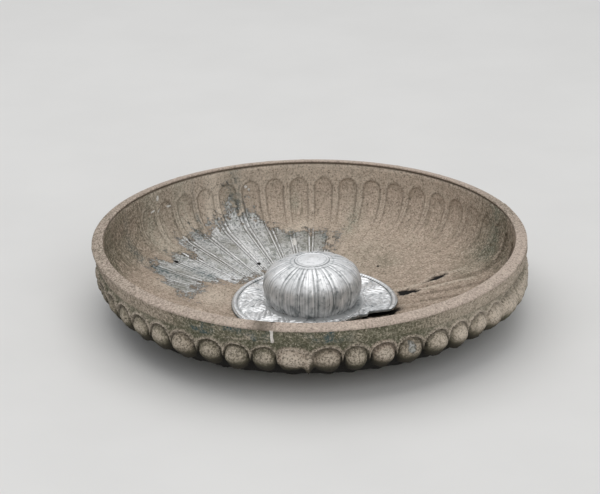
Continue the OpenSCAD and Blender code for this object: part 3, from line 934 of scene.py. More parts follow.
class BowlSurface:
    """Relief and masks of the crusted bowl, at every row and column."""

    def __init__(self, sizes):
        draw = np.random.default_rng(BOWL_SEED)
        self.rises = sizes.tongue_rise * draw.uniform(*HEAD_RISES, sizes.tongues)
        self.widths = HEAD_WIDTH * draw.uniform(*HEAD_WIDTHS, sizes.tongues)
        self.flutes = draw.uniform(*FLUTE_RANGE, sizes.tongues)
        self.tints = draw.uniform(*HEAD_TINTS, sizes.tongues)
        self.middles = np.full(sizes.tongues, HEAD_MIDDLE)
        self.rises[FLAT_TONGUE] *= FLAT_RISE
        self.widths[FLAT_TONGUE] *= FLAT_WIDTH
        self.middles[FLAT_TONGUE] = FLAT_MIDDLE
        self.tints[PALE_TONGUES] = 0.0

        self.sizes = sizes
        self.section = bowl_section(sizes)
        even, self.turn = tongue_columns(sizes)
        self.tongues = Tongues(self.section, even, sizes)
        self.places = self.section.places(self.turn, 0.0)
        self.outside = self.section.within("under", "shoulder", "wall")
        self.inside = self.section.within("inner_wall", "inner_shoulder", "floor", "seat")
        self.rim = self.section.within("lip")
        self.band = self.section.within("band")
        self.clear = 1.0 - CRUST_OVER_HEADS * by_turn(self.turn, CRUSTED_SIDE)
        self.depth = self.silver_depth()
        self.bare = self.inside * step_mm(self.depth, -0.6, 0.6)
        self.heads = self.ball_heads()
        self.add_damage()

    def spot(self, at, width, radius=None, height=None, stretch=1.0):
        """Spot at a turn in degrees and at a radius or a height in metres, drawn out along the section."""
        aside = turn_gap(self.turn, math.radians(at)) * self.section.radius
        along = self.section.height - height if radius is None else self.section.radius - radius
        return bell(np.hypot(aside, along / stretch), width)

    def patches(self, table):
        """Sum of the spots of a table of turns, radii, half widths and stretches."""
        total = 0.0
        for at, out, wide, long in table:
            total = total + self.spot(at, wide * MM, radius=out * MM, stretch=long)
        return total

    def silver_depth(self):
        """Distance into the stretch where the crust has come off inside, with a scalloped edge."""
        radius = self.section.radius
        back = np.degrees(-self.turn) % 360.0
        edge = np.interp(back, *zip(*SILVER_EDGE)) * MM
        start = np.interp(back, *zip(*SILVER_START)) * MM
        sides = np.radians(np.minimum(back - SILVER_SIDES[0], SILVER_SIDES[1] - back)) * radius
        depth = np.minimum(np.minimum(edge - radius, radius - start), sides)
        scallop = SCALLOP * np.cos(math.pi * self.tongues.across / self.tongues.half)
        islands = ISLAND_RISE * self.patches(CRUST_ISLANDS)
        return depth + scallop - islands + SILVER_RAGGED * rough_noise(self.places, SILVER_GRAIN)

    def radial_tear(self):
        """Distance into the dark tear that runs outwards from the collar at the right, in metres."""
        radius = self.section.radius
        out = radius / MM
        wide = np.interp(out, (33.2, 34.8, 36.0, 38.0, 40.5, 43.5), (-0.8, 2.2, 3.0, 2.3, 1.2, -0.3)) * MM
        narrow = np.interp(out, (44.0, 46.0, 49.0, 53.0, 56.5), (-0.3, 0.7, 1.4, 1.3, -0.4)) * MM
        first = np.interp(out, (33.5, 35.0, 36.5, 43.0), (108.0, 103.0, 101.5, 101.0))
        second = np.interp(out, (45.0, 52.0, 56.0), (106.8, 108.6, 109.4))
        return np.maximum(
            wide - np.abs(turn_gap(self.turn, np.radians(first))) * radius,
            narrow - np.abs(turn_gap(self.turn, np.radians(second))) * radius,
        )

    def shadowed_floor_gap(self):
        """Dark gap in the floor under the torn front edge of the collar: a shallow recess painted black as
        shadow.
        """
        around = np.degrees(turn_gap(self.turn, 0.0))
        start, full, fading, end = GAP_TURNS
        width = smooth_step(around, start, full) * smooth_step(around, end, fading)
        edge = GAP_START + GAP_REACH * width + GAP_RAGGED * rough_noise(self.places, GAP_GRAIN)
        return step_mm(edge - self.section.radius, -1.2, 0.6) * width

    def add_damage(self):
        """Tears with their burr, notch and stain at the crack, gap under the collar and hanging flake."""
        section = self.section
        floor = section.within("floor")
        torn_depth = self.radial_tear()
        self.tear = floor * step_mm(torn_depth, -0.1, 0.3)
        self.burr = floor * bell_mm(torn_depth + BURR_INSET, 0.5)
        notch = self.spot(math.degrees(CRACK_TURN), NOTCH_WIDTH, radius=self.sizes.radius - NOTCH_INSET)
        self.notch = self.rim * notch
        self.gap = section.within("floor", "seat") * self.shadowed_floor_gap()
        from_crack = turn_gap(self.turn, CRACK_TURN) * section.radius
        stain = bell_mm(from_crack + 3.5 * MM, 3.5)
        self.hairline = self.rim * (0.5 * bell_mm(from_crack, 0.3) + 0.7 * stain)
        tip = step_mm(section.height, 11.0, 14.5)
        flake = bell_mm(turn_gap(self.turn, FLAKE_TURN) * section.radius, 0.8 + 1.5 * tip) * self.outside
        flake = flake * step_mm(section.height, 10.3, 12.0)
        self.flake = flake * step_mm(section.height, 19.0, 16.5)

    def ball_heads(self):
        """Height of the round heads of the tongues."""
        tongues = self.tongues
        number = tongues.number
        head = tongues.half * self.widths[number]
        aside = tongues.across * (1.0 - HEAD_SPREAD * by_turn(self.turn, CRUSTED_SIDE))
        share = np.hypot(aside, HEAD_ALONG * (tongues.climb - self.middles[number])) / head
        dome = np.sqrt(np.clip(1.0 - share**2, 0.0, 1.0))
        return self.rises[number] * dome * by_turn(self.turn, TONGUE_WEAR)

    def outer_relief(self):
        """Heads, tails, gaps and arched frames of the tongues, where these are clear of the crust."""
        tongues = self.tongues
        climb = tongues.climb
        tail = np.sqrt(np.clip(1.0 - (tongues.across / (TAIL_WIDTH * tongues.half)) ** 2, 0.0, 1.0))
        tail = TAIL_RISE * tail * step_mm(climb, -4.0, -8.0)
        low = step_mm(climb, -7.0, -2.0)
        gap = -MOAT_DEPTH * bell_mm(tongues.reach - MOAT_REACH * tongues.half, 0.3) * low * self.clear
        gap = gap - UNDER_HEAD_DEPTH * step_mm(climb, -1.0, -4.0)
        ridge = self.sizes.frame_rise * bell_mm(tongues.reach - tongues.half, 0.55)
        ridge = ridge * (0.15 + 0.85 * low) * self.clear
        along = 0.2 + 0.8 * step_mm(self.section.radius, 34.0, 64.0)
        crust = (0.8 - 0.3 * self.clear) * MM * rough_noise(self.places, OUTER_CRUST)
        return along * (np.maximum(self.heads, tail) + gap + ridge + crust)

    def inner_relief(self):
        """Flutes with round heads inside, softer where the crust covers them."""
        tongues = self.tongues
        crust = 1.0 - self.bare
        strength = self.flutes[tongues.number] * by_turn(self.turn, FLUTE_STRENGTH)
        strength = strength * (0.75 + 0.45 * value_noise(self.places, *FLUTE_PATCHES))
        strength = strength + 0.8 * by_turn(self.turn, FLOOR_LINES)
        fade = 0.45 + 0.55 * step_mm(self.section.radius, 50.0, 72.0)
        flute = -self.sizes.flute_depth * smooth_step(tongues.share_inside, 0.76, 0.56)
        ridge = FLUTE_RIDGE * bell(tongues.share_inside - 0.84, 0.08)
        soft = strength * fade * (flute + ridge)
        lines = BARE_LINES * bell(tongues.aside - 0.78, 0.06)
        hollow = -BARE_HOLLOW * smooth_step(tongues.aside, 0.68, 0.3)
        crisp = (lines + hollow) * step_mm(tongues.climb_inside, 0.0, -2.0)
        return crust * soft + (1.0 - crust) * crisp

    def rows(self):
        """Points of the bowl with its relief, crust and damage."""
        band_lift = BAND_GRIT * rough_noise(self.places, BAND_CRUST) + by_turn(self.turn, BAND_SWELL)
        lift = self.outside * self.outer_relief()
        lift = lift + self.inside * self.inner_relief()
        crust = self.sizes.crust + INNER_GRIT * rough_noise(self.places, INNER_CRUST)
        lift = lift + self.inside * (1.0 - self.bare) * crust
        lift = lift + self.band * band_lift * MM
        lift = lift + self.rim * (LIP_GRIT * rough_noise(self.places, LIP_CRUST) - LIP_LOSS)
        lift = lift - TEAR_DEPTH * self.tear + BURR_RISE * self.burr
        lift = lift - NOTCH_DEPTH * self.notch - GAP_DEPTH * self.gap
        lift = np.maximum(lift, FLAKE_RISE * self.flake)
        return sway(self.sizes, self.section.places(self.turn, lift))

    def head_shade(self):
        """Painted shade in the gaps round and under the heads, on their lower halves and along the tails'
        sides, and the painted shadow under them.
        """
        tongues = self.tongues
        climb = tongues.climb
        moat = np.maximum(smooth_step(tongues.reach / tongues.half, 0.98, 0.9), step_mm(climb, -1.0, -3.5))
        moat = moat * step_mm(self.heads, 1.1, 0.3) * step_mm(climb, 4.5, 3.5)
        near_rim = step_mm(climb, -21.0, -14.0)
        tails = self.outside * smooth_step(tongues.aside, 0.6, 0.85) * (1.0 - near_rim)
        under = step_mm(climb, -5.0, -7.5)
        top_part = 1.0 - 0.62 * step_mm(climb, -1.5, 1.0)
        # Painted shade in the moats round the heads and on the wall under them.
        gap_shade = self.outside * np.maximum(moat * top_part, under) * near_rim
        gap_shade = gap_shade * (1.0 - self.flake) * self.clear
        on_head = self.on_head()
        shown = self.outside * near_rim * self.clear
        # Painted shade on the heads' lower halves and along the sides of the tails underneath.
        belly_shade = 0.92 * shown * step_mm(on_head, 0.6, -3.2) + 0.45 * tails
        return gap_shade, belly_shade, shown * step_mm(on_head, -0.8, -4.2)

    def on_head(self):
        """Climb along the tongues for the tones of their heads, raised on the flat head."""
        return self.tongues.climb + FLAT_TONE_DROP * (self.tongues.number == FLAT_TONGUE)

    def worn_parts(self):
        """Pale wear on the burr, band smears and flake, painted light on the heads' upper parts and the
        flutes' rims, and pale arches, partly wear and partly painted light.
        """
        tongues = self.tongues
        # Pale arches: partly wear on the raised frames, partly painted light on them.
        arches = self.outside * self.clear * bell_mm(tongues.reach - tongues.half, 0.5)
        arches = arches * step_mm(tongues.climb, -3.0, 0.0)
        # Painted light on the heads' upper parts, stronger on the pale tongues.
        crown_light = 1.0 + 0.8 * np.isin(tongues.number, PALE_TONGUES)
        crown_light = crown_light * step_mm(self.heads, 1.2, 2.4) * step_mm(self.on_head(), -2.5, 0.3) * self.outside
        # Painted light on the rims of the flutes' heads.
        light = bell(tongues.share_inside - 0.86, 0.07) * step_mm(self.section.radius, 70.0, 74.5)
        light = self.inside * light * by_turn(self.turn, FLUTE_STRENGTH)
        smear = value_noise(self.places * SMEAR_STRETCH, *BAND_SMEARS)
        smear = self.band * smooth_step(smear, 0.25, 0.6) * bell_turn(self.turn, SMEAR_TURN, SMEAR_WIDTH)
        worn = 0.55 * crown_light + 0.75 * arches + 0.35 * light
        return worn + 0.5 * self.burr + 0.6 * smear + 0.3 * self.flake

    def pale_parts(self, paler):
        """Powdery pale crust at the back inside, in patches and on the sides outside."""
        pale = 0.36 * self.inside * bell_turn(self.turn, 180.0, 55.0)
        pale = pale + 0.55 * self.inside * self.patches(INNER_PALE)
        pale = pale + 0.25 * self.section.within("inner_wall") * bell_turn(self.turn, 180.0, 50.0)
        return pale + 0.5 * paler * (self.band + self.outside * step_mm(self.tongues.climb, -2.0, 1.0))

    def dark_lines(self):
        """Painted shadow lines along the tops of the flutes, dark lines over the floor, and the stained
        hairline in the lip.
        """
        tongues = self.tongues
        radius = self.section.radius
        # Painted shadow line just inside the arched top of each flute.
        flute = self.inside * bell(tongues.share_inside - 0.7, 0.06) * (1.0 - self.bare)
        flute = flute * by_turn(self.turn, FLUTE_STRENGTH) * step_mm(radius, 62.0, 74.0)
        floor = self.inside * bell(tongues.aside - 0.62, 0.13) * by_turn(self.turn, FLOOR_LINES)
        floor = floor * step_mm(radius, 38.0, 46.0)
        return 0.6 * flute + 0.4 * floor + self.hairline

    def masks(self):
        """Point masks for the crusted finish."""
        outside, inside, rim, band, turn = self.outside, self.inside, self.rim, self.band, self.turn
        tongues = self.tongues
        gap_shade, belly_shade, shadow = self.head_shade()
        # Painted shade on the spandrels between the arches: full band colour and a little dirt.
        spandrel = outside * smooth_step(tongues.reach / tongues.half, 1.08, 1.2)
        tint = self.tints[tongues.number] + 0.4 * step_mm(tongues.climb, 0.5, -5.0)
        tinted = np.maximum(band * by_turn(turn, BAND_SHOW), outside * tint + spandrel)
        teal = sum(much * bell_turn(turn, at, wide) for at, wide, much in BAND_TEAL)
        teal = band * teal * smooth_step(rough_noise(self.places, TEAL_GRAIN), -0.35, 0.15)
        olive = sum(bell_turn(turn, at, wide) for at, wide in OLIVE_WALLS)
        at, up, wide, long = SHINY_SPOT
        shiny = outside * self.spot(at, wide, height=up, stretch=long)
        upper = step_mm(self.section.radius, 66.0, 74.0)
        paler = by_turn(turn, PALE_OUTSIDE)
        pitted = (0.85 * outside + 0.8 * band) * (1.0 - 0.4 * paler) + rim * (0.35 + 0.5 * olive)
        grime = 0.12 * outside + 0.08 * band
        # Dirt mask: dark floor lines and the stained hairline, plus painted shade round, under and on the
        # lower halves of the heads, along the tops of the flutes and in the line under the lip.
        dirt = self.dark_lines() + 0.95 * gap_shade + belly_shade + 0.7 * self.section.within("undercut")
        opened = smooth_step(self.tear + self.notch + self.gap, 0.35, 0.65)
        return {
            "bare": np.where(inside > 0.0, 0.5 + 0.5 * self.depth / SILVER_SCALE, 0.85 * shiny),
            "aside": tongues.aside,
            "shade": 0.5 * self.patches(SILVER_SHADE) + 0.6 * shiny,
            "bright": 0.9 * self.patches(BRIGHT_SILVER_HIGHLIGHTS),
            "pitted": pitted + inside * (0.35 + 0.45 * olive * upper),
            "lip": rim,
            "band": tinted * (1.0 - 0.6 * self.flake),
            "olive": olive * (inside * upper + 0.4 * rim) + 0.6 * inside * self.patches(INNER_OLIVE),
            "green": inside * self.patches(INNER_GREEN),
            "teal": teal + 0.8 * inside * self.patches(INNER_TEAL),
            "worn": self.worn_parts() + self.pale_parts(paler),
            "dirt": np.clip(dirt + 0.12 * spandrel + grime, 0.0, 0.95),
            # Hole mask: black in the tears, the notch and the gap under the collar, painted as the shade
            # inside them, and painted shadow in the gaps round and under the heads.
            "hole": np.maximum(opened, np.maximum(0.95 * gap_shade, 0.6 * shadow)),
        }


class PHIALE_OT_bowl(Operator):
    """Model the crusted bowl with its tongues, flutes, lip and damage"""

    bl_idname = "phiale.bowl"
    bl_label = "Bowl"

    def execute(self, context):
        surface = BowlSurface(context.scene.phiale_bowl)
        bowl = skin("bowl_crusted", surface.rows(), surface.masks())
        place_piece(bowl, crusted_silver(context.scene.phiale_colours), "bowl")
        return {"FINISHED"}


FILL_HALF = 0.5 * MM
FILL_RISE = 0.25 * MM
FILL_SINK = 0.1 * MM
FILL_GRIT = 0.07 * MM
FILL_BEND = 0.003


class PHIALE_OT_crack_fill(Operator):
    """Model the pale filling of the crack through the rim"""

    bl_idname = "phiale.crack_fill"
    bl_label = "Crack fill"

    def execute(self, context):
        sizes = context.scene.phiale_bowl
        section = bowl_section(sizes)
        in_rim = np.isin(section.zone[:, 0], ("band", "lip", "undercut", "inner_wall"))
        in_rim &= section.height[:, 0] > FILL_LOW[2] - 1.2 * MM
        across = np.linspace(-FILL_HALF, FILL_HALF, 7)[None, :]
        rim = Section((("rim", np.hstack((section.radius, section.height))[in_rim]),), closed=True)
        shallow = rim.height < FILL_LOW[2] + 0.75 * (FILL_HIGH[2] - FILL_LOW[2])
        outer = smooth_step(rim.radius, sizes.radius - 3.0 * MM, sizes.radius - 2.0 * MM)
        turn = CRACK_TURN + across / sizes.radius
        lift = FILL_RISE * outer * shallow - FILL_SINK * (1.0 - shallow) + 0.0 * across
        places = rim.places(turn, lift)
        lift = lift + FILL_GRIT * rough_noise(places, FILL_GRAIN)
        rows = sway(sizes, rim.places(turn + FILL_BEND * value_noise(places, *FILL_WANDER), lift))
        fill = strip("crack_filling", rows, 1.0 - outer * shallow)
        place_piece(fill, pale_filler(context.scene.phiale_colours), "crack_fill")
        return {"FINISHED"}


# Collar, boss and cap

# Sizes in metres and turns in degrees, but DIMMED_HIGHLIGHT_TURN and WIRE_TAPER in radians
COLLAR_COLUMNS = 600
COLLAR_SHEET = 1.3 * MM
COLLAR_BEVEL = 0.3 * MM
COLLAR_SHIFT = 1.7 * MM
COLLAR_LIFT = 0.8 * MM
HOLE_INSET = 1.5 * MM
HOLE_BEVEL = 0.2 * MM
LIFT_TURN = 72.0
LIFT_WIDTH = 27.0
# Torn front: turn in degrees, and how far the edge is torn back in millimetres
TORN_EDGE = (
    (0.0, 0.0), (8.0, 0.0), (18.0, 9.8), (40.0, 9.0), (56.0, 6.4), (62.0, 3.8), (68.0, 0.8), (73.0, 0.0),
    (360.0, 0.0),
)
TEAR_UNEVEN = 0.2
LEAF_START = 2.6 * MM
LEAF_END = 2.4 * MM
GROOVE_INSET = 2.0 * MM
GROOVE_DEPTH = 0.3 * MM
FLARE_RISE = 0.2 * MM
CURL_RISE = 0.25 * MM
THINNING = 1.1 * MM
WAVE_RISE = 0.12 * MM
WIRE_START = 68.0
WIRE_END = 369.0
WIRE_SEAT = 1.2 * MM
WIRE_HEIGHT = 0.7
WIRE_TAPER = 0.05
NICK_DEPTH = 0.16
COLUMNS_PER_LOBE = 20
LOBE_CROWDING = 0.6
BOSS_SHIFT = 0.9 * MM
BOSS_LEAN = 0.03
BOSS_MIDDLE = 0.43
BOSS_SWELL = 0.55 * MM
BOSS_DOWN = 14.05 * MM
BOSS_FULLNESS = 0.8
FOOT_DROP = 0.6 * MM
AXIS_GAP = 0.6 * MM
CROWN_ANGLE = 75.5
FILLET_RISE = 0.16 * MM
FILLET_LINES = 0.13 * MM
DENT_DEPTH = 0.18 * MM
SHADED_TARNISH_UNEVEN = 0.9 * MM
RING_LINE = 7.9 * MM
DIMMED_HIGHLIGHT_TURN = math.radians(-24.0)
DIMMED_HIGHLIGHT_HEIGHT = 16.5 * MM
SCRATCH_STRETCH = (1.0, 1.0, 0.2)
CAP_COLUMNS = 320
CAP_SEAT_ANGLE = 3.0
CAP_SHEET = 0.5 * MM
CAP_AXIS_GAP = 0.5 * MM
CAP_DOME = 0.3 * MM
CAP_DENT_DEPTH = 0.12 * MM
CAP_RING = 6.1 * MM
CAP_RING_BASE = 0.12 * MM
CAP_RING_RISE = 0.22 * MM
# Grains: feature size in millimetres, layers and seed
TEAR_GRAIN = (2.4, 3, 31)
WAVE_GRAIN = (4.0, 2, 33)
DENT_GRAIN = (4.5, 3, 41)
SHADED_TARNISH_GRAIN = (2.0, 3, 45)
SHADED_TARNISH_LINE = (6.0, 2, 47)
CAP_GRAIN = (2.4, 3, 51)
# Single layers of noise: feature size in millimetres and seed
LEAF_BENDS = (5.0, 35)
LEAF_SHAKES = (1.5, 36)
LEAF_SLANTS = (2.2, 37)
LEAF_DIRT = (3.5, 38)
SCRATCHES = (0.7, 43)


def torn(turn):
    """How far the collar's edge is torn back at a turn, in metres."""
    return np.interp(np.degrees(turn) % 360.0, *zip(*TORN_EDGE)) * MM


def raised_side(turn):
    """1 at the right side, where the collar has lifted off the floor."""
    return bell_turn(turn, LIFT_TURN, LIFT_WIDTH)


def collar_hole(boss):
    """Radius of the hole in the collar."""
    return boss.foot_radius - HOLE_INSET


def collar_place(radius, turn, height):
    """Points on the collar, which lies a little to the right of the bowl's axis."""
    return np.stack((radius * np.sin(turn) + COLLAR_SHIFT, -radius * np.cos(turn), height), -1)


def collar_rows(boss):
    """Rows of the collar's closed section."""
    hole = collar_hole(boss)
    edge = COLLAR_HIGH[0]
    low = COLLAR_LOW[2]
    top = low + COLLAR_SHEET
    return Section((
        ("top", line((edge - COLLAR_BEVEL, top), (hole + HOLE_BEVEL, top), 48)),
        ("hole", line((hole, top - COLLAR_BEVEL), (hole, low + COLLAR_BEVEL), 2)),
        ("bottom", line((hole + HOLE_BEVEL, low), (edge - COLLAR_BEVEL, low), 8)),
        ("edge", line((edge, low + COLLAR_BEVEL), (edge, top - COLLAR_BEVEL), 3)),
    ), closed=True)


def leaf_relief(boss, radius, turn, flat):
    """Leaves with midribs and slanting rounded lobes, and the dirt in their creases."""
    inner = boss.foot_radius + LEAF_START
    outer = COLLAR_HIGH[0] - LEAF_END
    pitch = math.tau / boss.leaves
    bent = turn + 0.09 * value_noise(flat, *LEAF_BENDS) + 0.03 * value_noise(flat, *LEAF_SHAKES)
    share = bent / pitch % 1.0 - 0.5
    aside = np.abs(share) * pitch * radius
    slant = (radius - 0.8 * aside) / boss.leaf_row + 0.35 * value_noise(flat, *LEAF_SLANTS)
    slant = slant + (share > 0.0) * 0.4
    lobe = np.abs(np.sin(math.pi * slant)) ** 0.6
    rib = bell_mm(aside, 0.3)
    seam = bell_mm((0.5 - np.abs(share)) * pitch * radius, 0.35)
    crease = np.maximum(np.maximum(rib, seam), 0.85 * smooth_step(lobe, 0.5, 0.15))
    inside = smooth_step(radius, inner, inner + 0.8 * MM) * smooth_step(radius, outer, outer - 0.6 * MM)
    patchy = 0.65 + 0.35 * value_noise(flat, *LEAF_DIRT)
    return boss.leaf_rise * inside * (lobe - 0.8 * crease), inside * crease * patchy


class PHIALE_OT_collar(Operator):
    """Model the leaf collar with its torn and lifted edge"""

    bl_idname = "phiale.collar"
    bl_label = "Leaf collar"

    def execute(self, context):
        boss = context.scene.phiale_boss
        section = collar_rows(boss)
        turn = (np.arange(COLLAR_COLUMNS) * math.tau / COLLAR_COLUMNS)[None, :]
        flat = section.places(turn, 0.0)
        top = section.within("top")
        hole = collar_hole(boss)
        wide = COLLAR_HIGH[0] - hole
        out = (section.radius - hole) / wide
        bite = torn(turn) * (1.0 + TEAR_UNEVEN * rough_noise(flat[:1], TEAR_GRAIN))
        radius = hole + (section.radius - hole) * (1.0 - out * bite / wide)
        relief, dirt = leaf_relief(boss, radius, turn, flat)
        groove = bell_mm(radius - COLLAR_HIGH[0] + GROOVE_INSET, 0.35)
        flare = FLARE_RISE * smooth_step(radius, hole + 4.5 * MM, hole + 1.2 * MM)
        raised = raised_side(turn)
        lifted = COLLAR_LIFT * raised * smooth_step(out, 0.45, 1.0)
        at_tear = step_mm(torn(turn), 0.0, 4.0)
        curl = CURL_RISE * at_tear * smooth_step(out, 0.55, 1.0)
        thin = np.maximum(at_tear, smooth_step(raised, 0.6, 0.9)) * smooth_step(out, 0.5, 0.8)
        thin = THINNING * thin * (1.0 - top)
        wave = WAVE_RISE * rough_noise(flat, WAVE_GRAIN)
        height = section.height + top * (relief - GROOVE_DEPTH * groove + flare + wave) + lifted + curl + thin
        # Painted shade round the boss's foot, and the lifted right side a little darker.
        foot_shade_and_side = 0.45 * smooth_step(radius, hole + 4.6 * MM, hole + 3.0 * MM) + 0.3 * raised
        # The collar's underside, hole and edge faces are painted dark as shade.
        masks = {"dirt": top * np.clip(0.95 * dirt + groove + foot_shade_and_side, 0.0, 1.0) + 0.9 * (1.0 - top)}
        collar = skin("leaf_collar", collar_place(radius, turn, height), masks, ends="ring")
        finish = worn_silver("cleaned_silver", context.scene.phiale_colours, 0.5, 0.34, metal=0.75)
        place_piece(collar, finish, "omphalos_collar")
        return {"FINISHED"}


class PHIALE_OT_border_wire(Operator):
    """Model the nicked border wire, broken away at the torn front"""

    bl_idname = "phiale.border_wire"
    bl_label = "Border wire"

    def execute(self, context):
        boss = context.scene.phiale_boss
        start = math.radians(WIRE_START)
        end = math.radians(WIRE_END)
        turn = np.linspace(start, end, 721)[None, :]
        middle = COLLAR_HIGH[0] - COLLAR_BEVEL - boss.wire_width / 2.0
        around = np.radians(np.linspace(180.0, 0.0, 9))
        profile = np.stack((np.cos(around), np.sin(around)), 1) * boss.wire_width / 2.0
        nick = 1.0 - NICK_DEPTH * bell(np.sin(turn * boss.beads / 2.0), 0.35)
        width = nick * smooth_step(turn, start, start + WIRE_TAPER) * smooth_step(turn, end, end - WIRE_TAPER)
        radius = middle + profile[:, 0:1] * width
        height = COLLAR_LOW[2] + WIRE_SEAT + profile[:, 1:2] * WIRE_HEIGHT * width
        height = height + COLLAR_LIFT * raised_side(turn)
        dirt = 0.5 * (1.0 - nick) / NICK_DEPTH + 0.4 * (profile[:, 1:2] < 0.2 * MM)
        wire = strip("border_wire", collar_place(radius, turn, height), dirt)
        finish = worn_silver("border_silver", context.scene.phiale_colours, 0.5, 0.32)
        place_piece(wire, finish, "collar_border_wire")
        return {"FINISHED"}


def fillets(boss, turn, radius):
    """Relief of the double fillets and hollows between the lobes, and the dirt beside the fillets."""
    edge = 0.5 - np.abs(turn_gap(turn - boss.lobe_turn, 0.0) * boss.lobes / math.tau % 1.0 - 0.5)
    aside = edge * radius * math.tau / boss.lobes
    hollow = -boss.lobe_depth * bell(edge, 0.17) * step_mm(radius, 7.0, 13.0)
    fillet = FILLET_RISE * bell_mm(aside, 0.3)
    lines = bell_mm(aside - 0.7 * MM, 0.28)
    strength = step_mm(radius, 6.0, 9.0)
    return strength * (hollow + fillet - FILLET_LINES * lines), strength * lines


def melon_curve(boss, inset, start, end, steps):
    """Points of the boss's full shouldered curve, from the foot's angle up, inset by a sheet's thickness."""
    middle = BOSS_LOW[2] + BOSS_MIDDLE * (BOSS_HIGH[2] - BOSS_LOW[2])
    wide = BOSS_HIGH[0] + BOSS_SWELL - inset
    up = boss.crown - middle - inset
    down = BOSS_DOWN - inset
    around = np.radians(np.linspace(start, end, steps))
    full = np.where(around > 0.0, BOSS_FULLNESS, 1.0)
    rise = np.where(around > 0.0, up, -down) * np.abs(np.sin(around)) ** full
    return np.stack((wide * np.cos(around) ** full, middle + rise), 1)


def lean(rows):
    """Rows moved to the boss's place and raised at the right, more at the top."""
    across, along, height = np.moveaxis(rows, -1, 0)
    raised = height + BOSS_LEAN * across * smooth_step(height, BOSS_LOW[2], BOSS_HIGH[2])
    return np.stack((across + BOSS_SHIFT, along, raised), -1)


def boss_section(boss):
    """Rows of the boss's section, from its crown inside round to its crown outside."""
    foot = math.degrees(boss.foot_angle)
    foot_low = BOSS_LOW[2] - FOOT_DROP
    inner = melon_curve(boss, boss.shell, CROWN_ANGLE, foot + 2.0, 14)
    curve = melon_curve(boss, 0.0, foot + 1.0, CROWN_ANGLE, 52)
    return Section((
        ("under", line((AXIS_GAP, inner[0, 1]), inner[0], 3)),
        ("under", inner),
        ("foot", line((boss.foot_radius - boss.shell, foot_low), (boss.foot_radius, foot_low), 3)),
        ("outer", curve),
        ("crown", line(curve[-1], (AXIS_GAP, curve[-1, 1]), 4)),
    ))


class PHIALE_OT_boss(Operator):
    """Model the hollow melon boss with its lobes and double fillets"""

    bl_idname = "phiale.boss"
    bl_label = "Melon boss"

    def execute(self, context):
        boss = context.scene.phiale_boss
        section = boss_section(boss)
        steps = crowded(boss.lobes, COLUMNS_PER_LOBE, LOBE_CROWDING)
        turn = (boss.lobe_turn + steps * math.tau / boss.lobes)[None, :]
        outer = section.within("outer")
        relief, lines = fillets(boss, turn, section.radius)
        flat = section.places(turn, 0.0)
        dents = DENT_DEPTH * rough_noise(flat, DENT_GRAIN)
        rows = lean(section.places(turn, outer * (relief + dents)))
        # Painted shade with patchy tarnish: the boss darkens below an uneven line on its lower half, more at
        # the front.
        uneven = section.height + SHADED_TARNISH_UNEVEN * rough_noise(flat, SHADED_TARNISH_LINE)
        low = step_mm(uneven, 16.2, 11.4) * (0.72 + 0.28 * bell(turn_gap(turn, 0.0), 0.9))
        scratches = smooth_step(value_noise(flat * SCRATCH_STRETCH, *SCRATCHES), 0.2, 0.7)
        tarnish = low * (0.56 + 0.3 * rough_noise(flat, SHADED_TARNISH_GRAIN))
        ring = bell_mm(section.radius - RING_LINE, 0.3)
        # Painted shade that dims the highlight on a patch of the front left shoulder.
        dull = bell(turn_gap(turn, DIMMED_HIGHLIGHT_TURN), 0.3) * bell_mm(section.height - DIMMED_HIGHLIGHT_HEIGHT, 2.6)
        beside = 0.55 * lines * (1.0 - 0.5 * low)
        dirt = outer * (beside + tarnish + 0.3 * scratches + 0.4 * ring + 0.3 * dull)
        # The inside of the shell is painted dark as shade.
        shell = skin("melon_boss", rows, {"dirt": dirt + 0.6 * section.within("under")})
        colours = context.scene.phiale_colours
        finish = worn_silver("bright_silver", colours, 0.33, 0.34, metal=0.55, brushed=0.4)
        place_piece(shell, finish, "omphalos_shell")
        return {"FINISHED"}


class PHIALE_OT_cap(Operator):
    """Model the ringed cap on the boss's crown"""

    bl_idname = "phiale.cap"
    bl_label = "Cap"

    def execute(self, context):
        boss = context.scene.phiale_boss
        seat = melon_curve(boss, 0.0, CROWN_ANGLE - CAP_SEAT_ANGLE, CROWN_ANGLE, 2)
        low = seat[1, 1] - CAP_SHEET
        ring = (CAP_RING, seat[1, 1] + CAP_RING_BASE)
        section = Section((
            ("bottom", line((CAP_AXIS_GAP, low), seat[0] - (0.1 * MM, CAP_SHEET), 5)),
            ("top", line(seat[0], ring, 6)),
            ("top", line(ring, (CAP_AXIS_GAP, CAP_HIGH[2] + CAP_DOME), 40)),
        ))
        turn = np.linspace(0.0, math.tau, CAP_COLUMNS, endpoint=False)[None, :]
        top = section.within("top")
        from_ring = section.radius - CAP_RING
        rise = CAP_DENT_DEPTH * rough_noise(section.places(turn, 0.0), CAP_GRAIN)
        rise = rise + CAP_RING_RISE * bell_mm(from_ring, 0.26)
        rows = lean(section.places(turn, top * rise))
        groove = bell_mm(from_ring - 0.4 * MM, 0.22) + 0.5 * bell_mm(from_ring + 0.6 * MM, 0.25)
        cap = skin("ringed_cap", rows, {"dirt": top * groove})
        finish = worn_silver("cap_silver", context.scene.phiale_colours, 0.5, 0.3, metal=0.35)
        place_piece(cap, finish, "omphalos_cap")
        return {"FINISHED"}


class PHIALE_OT_solder(Operator):
    """Finish the solder under the collar, the boss and the cap"""

    bl_idname = "phiale.solder"
    bl_label = "Solder"

    def execute(self, context):
        finish = dull_solder(context.scene.phiale_colours)
        for name in ("collar_solder", "shell_solder", "cap_solder"):
            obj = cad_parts[name]
            obj.data.materials.clear()
            obj.data.materials.append(finish.material)
        return {"FINISHED"}


# Stage

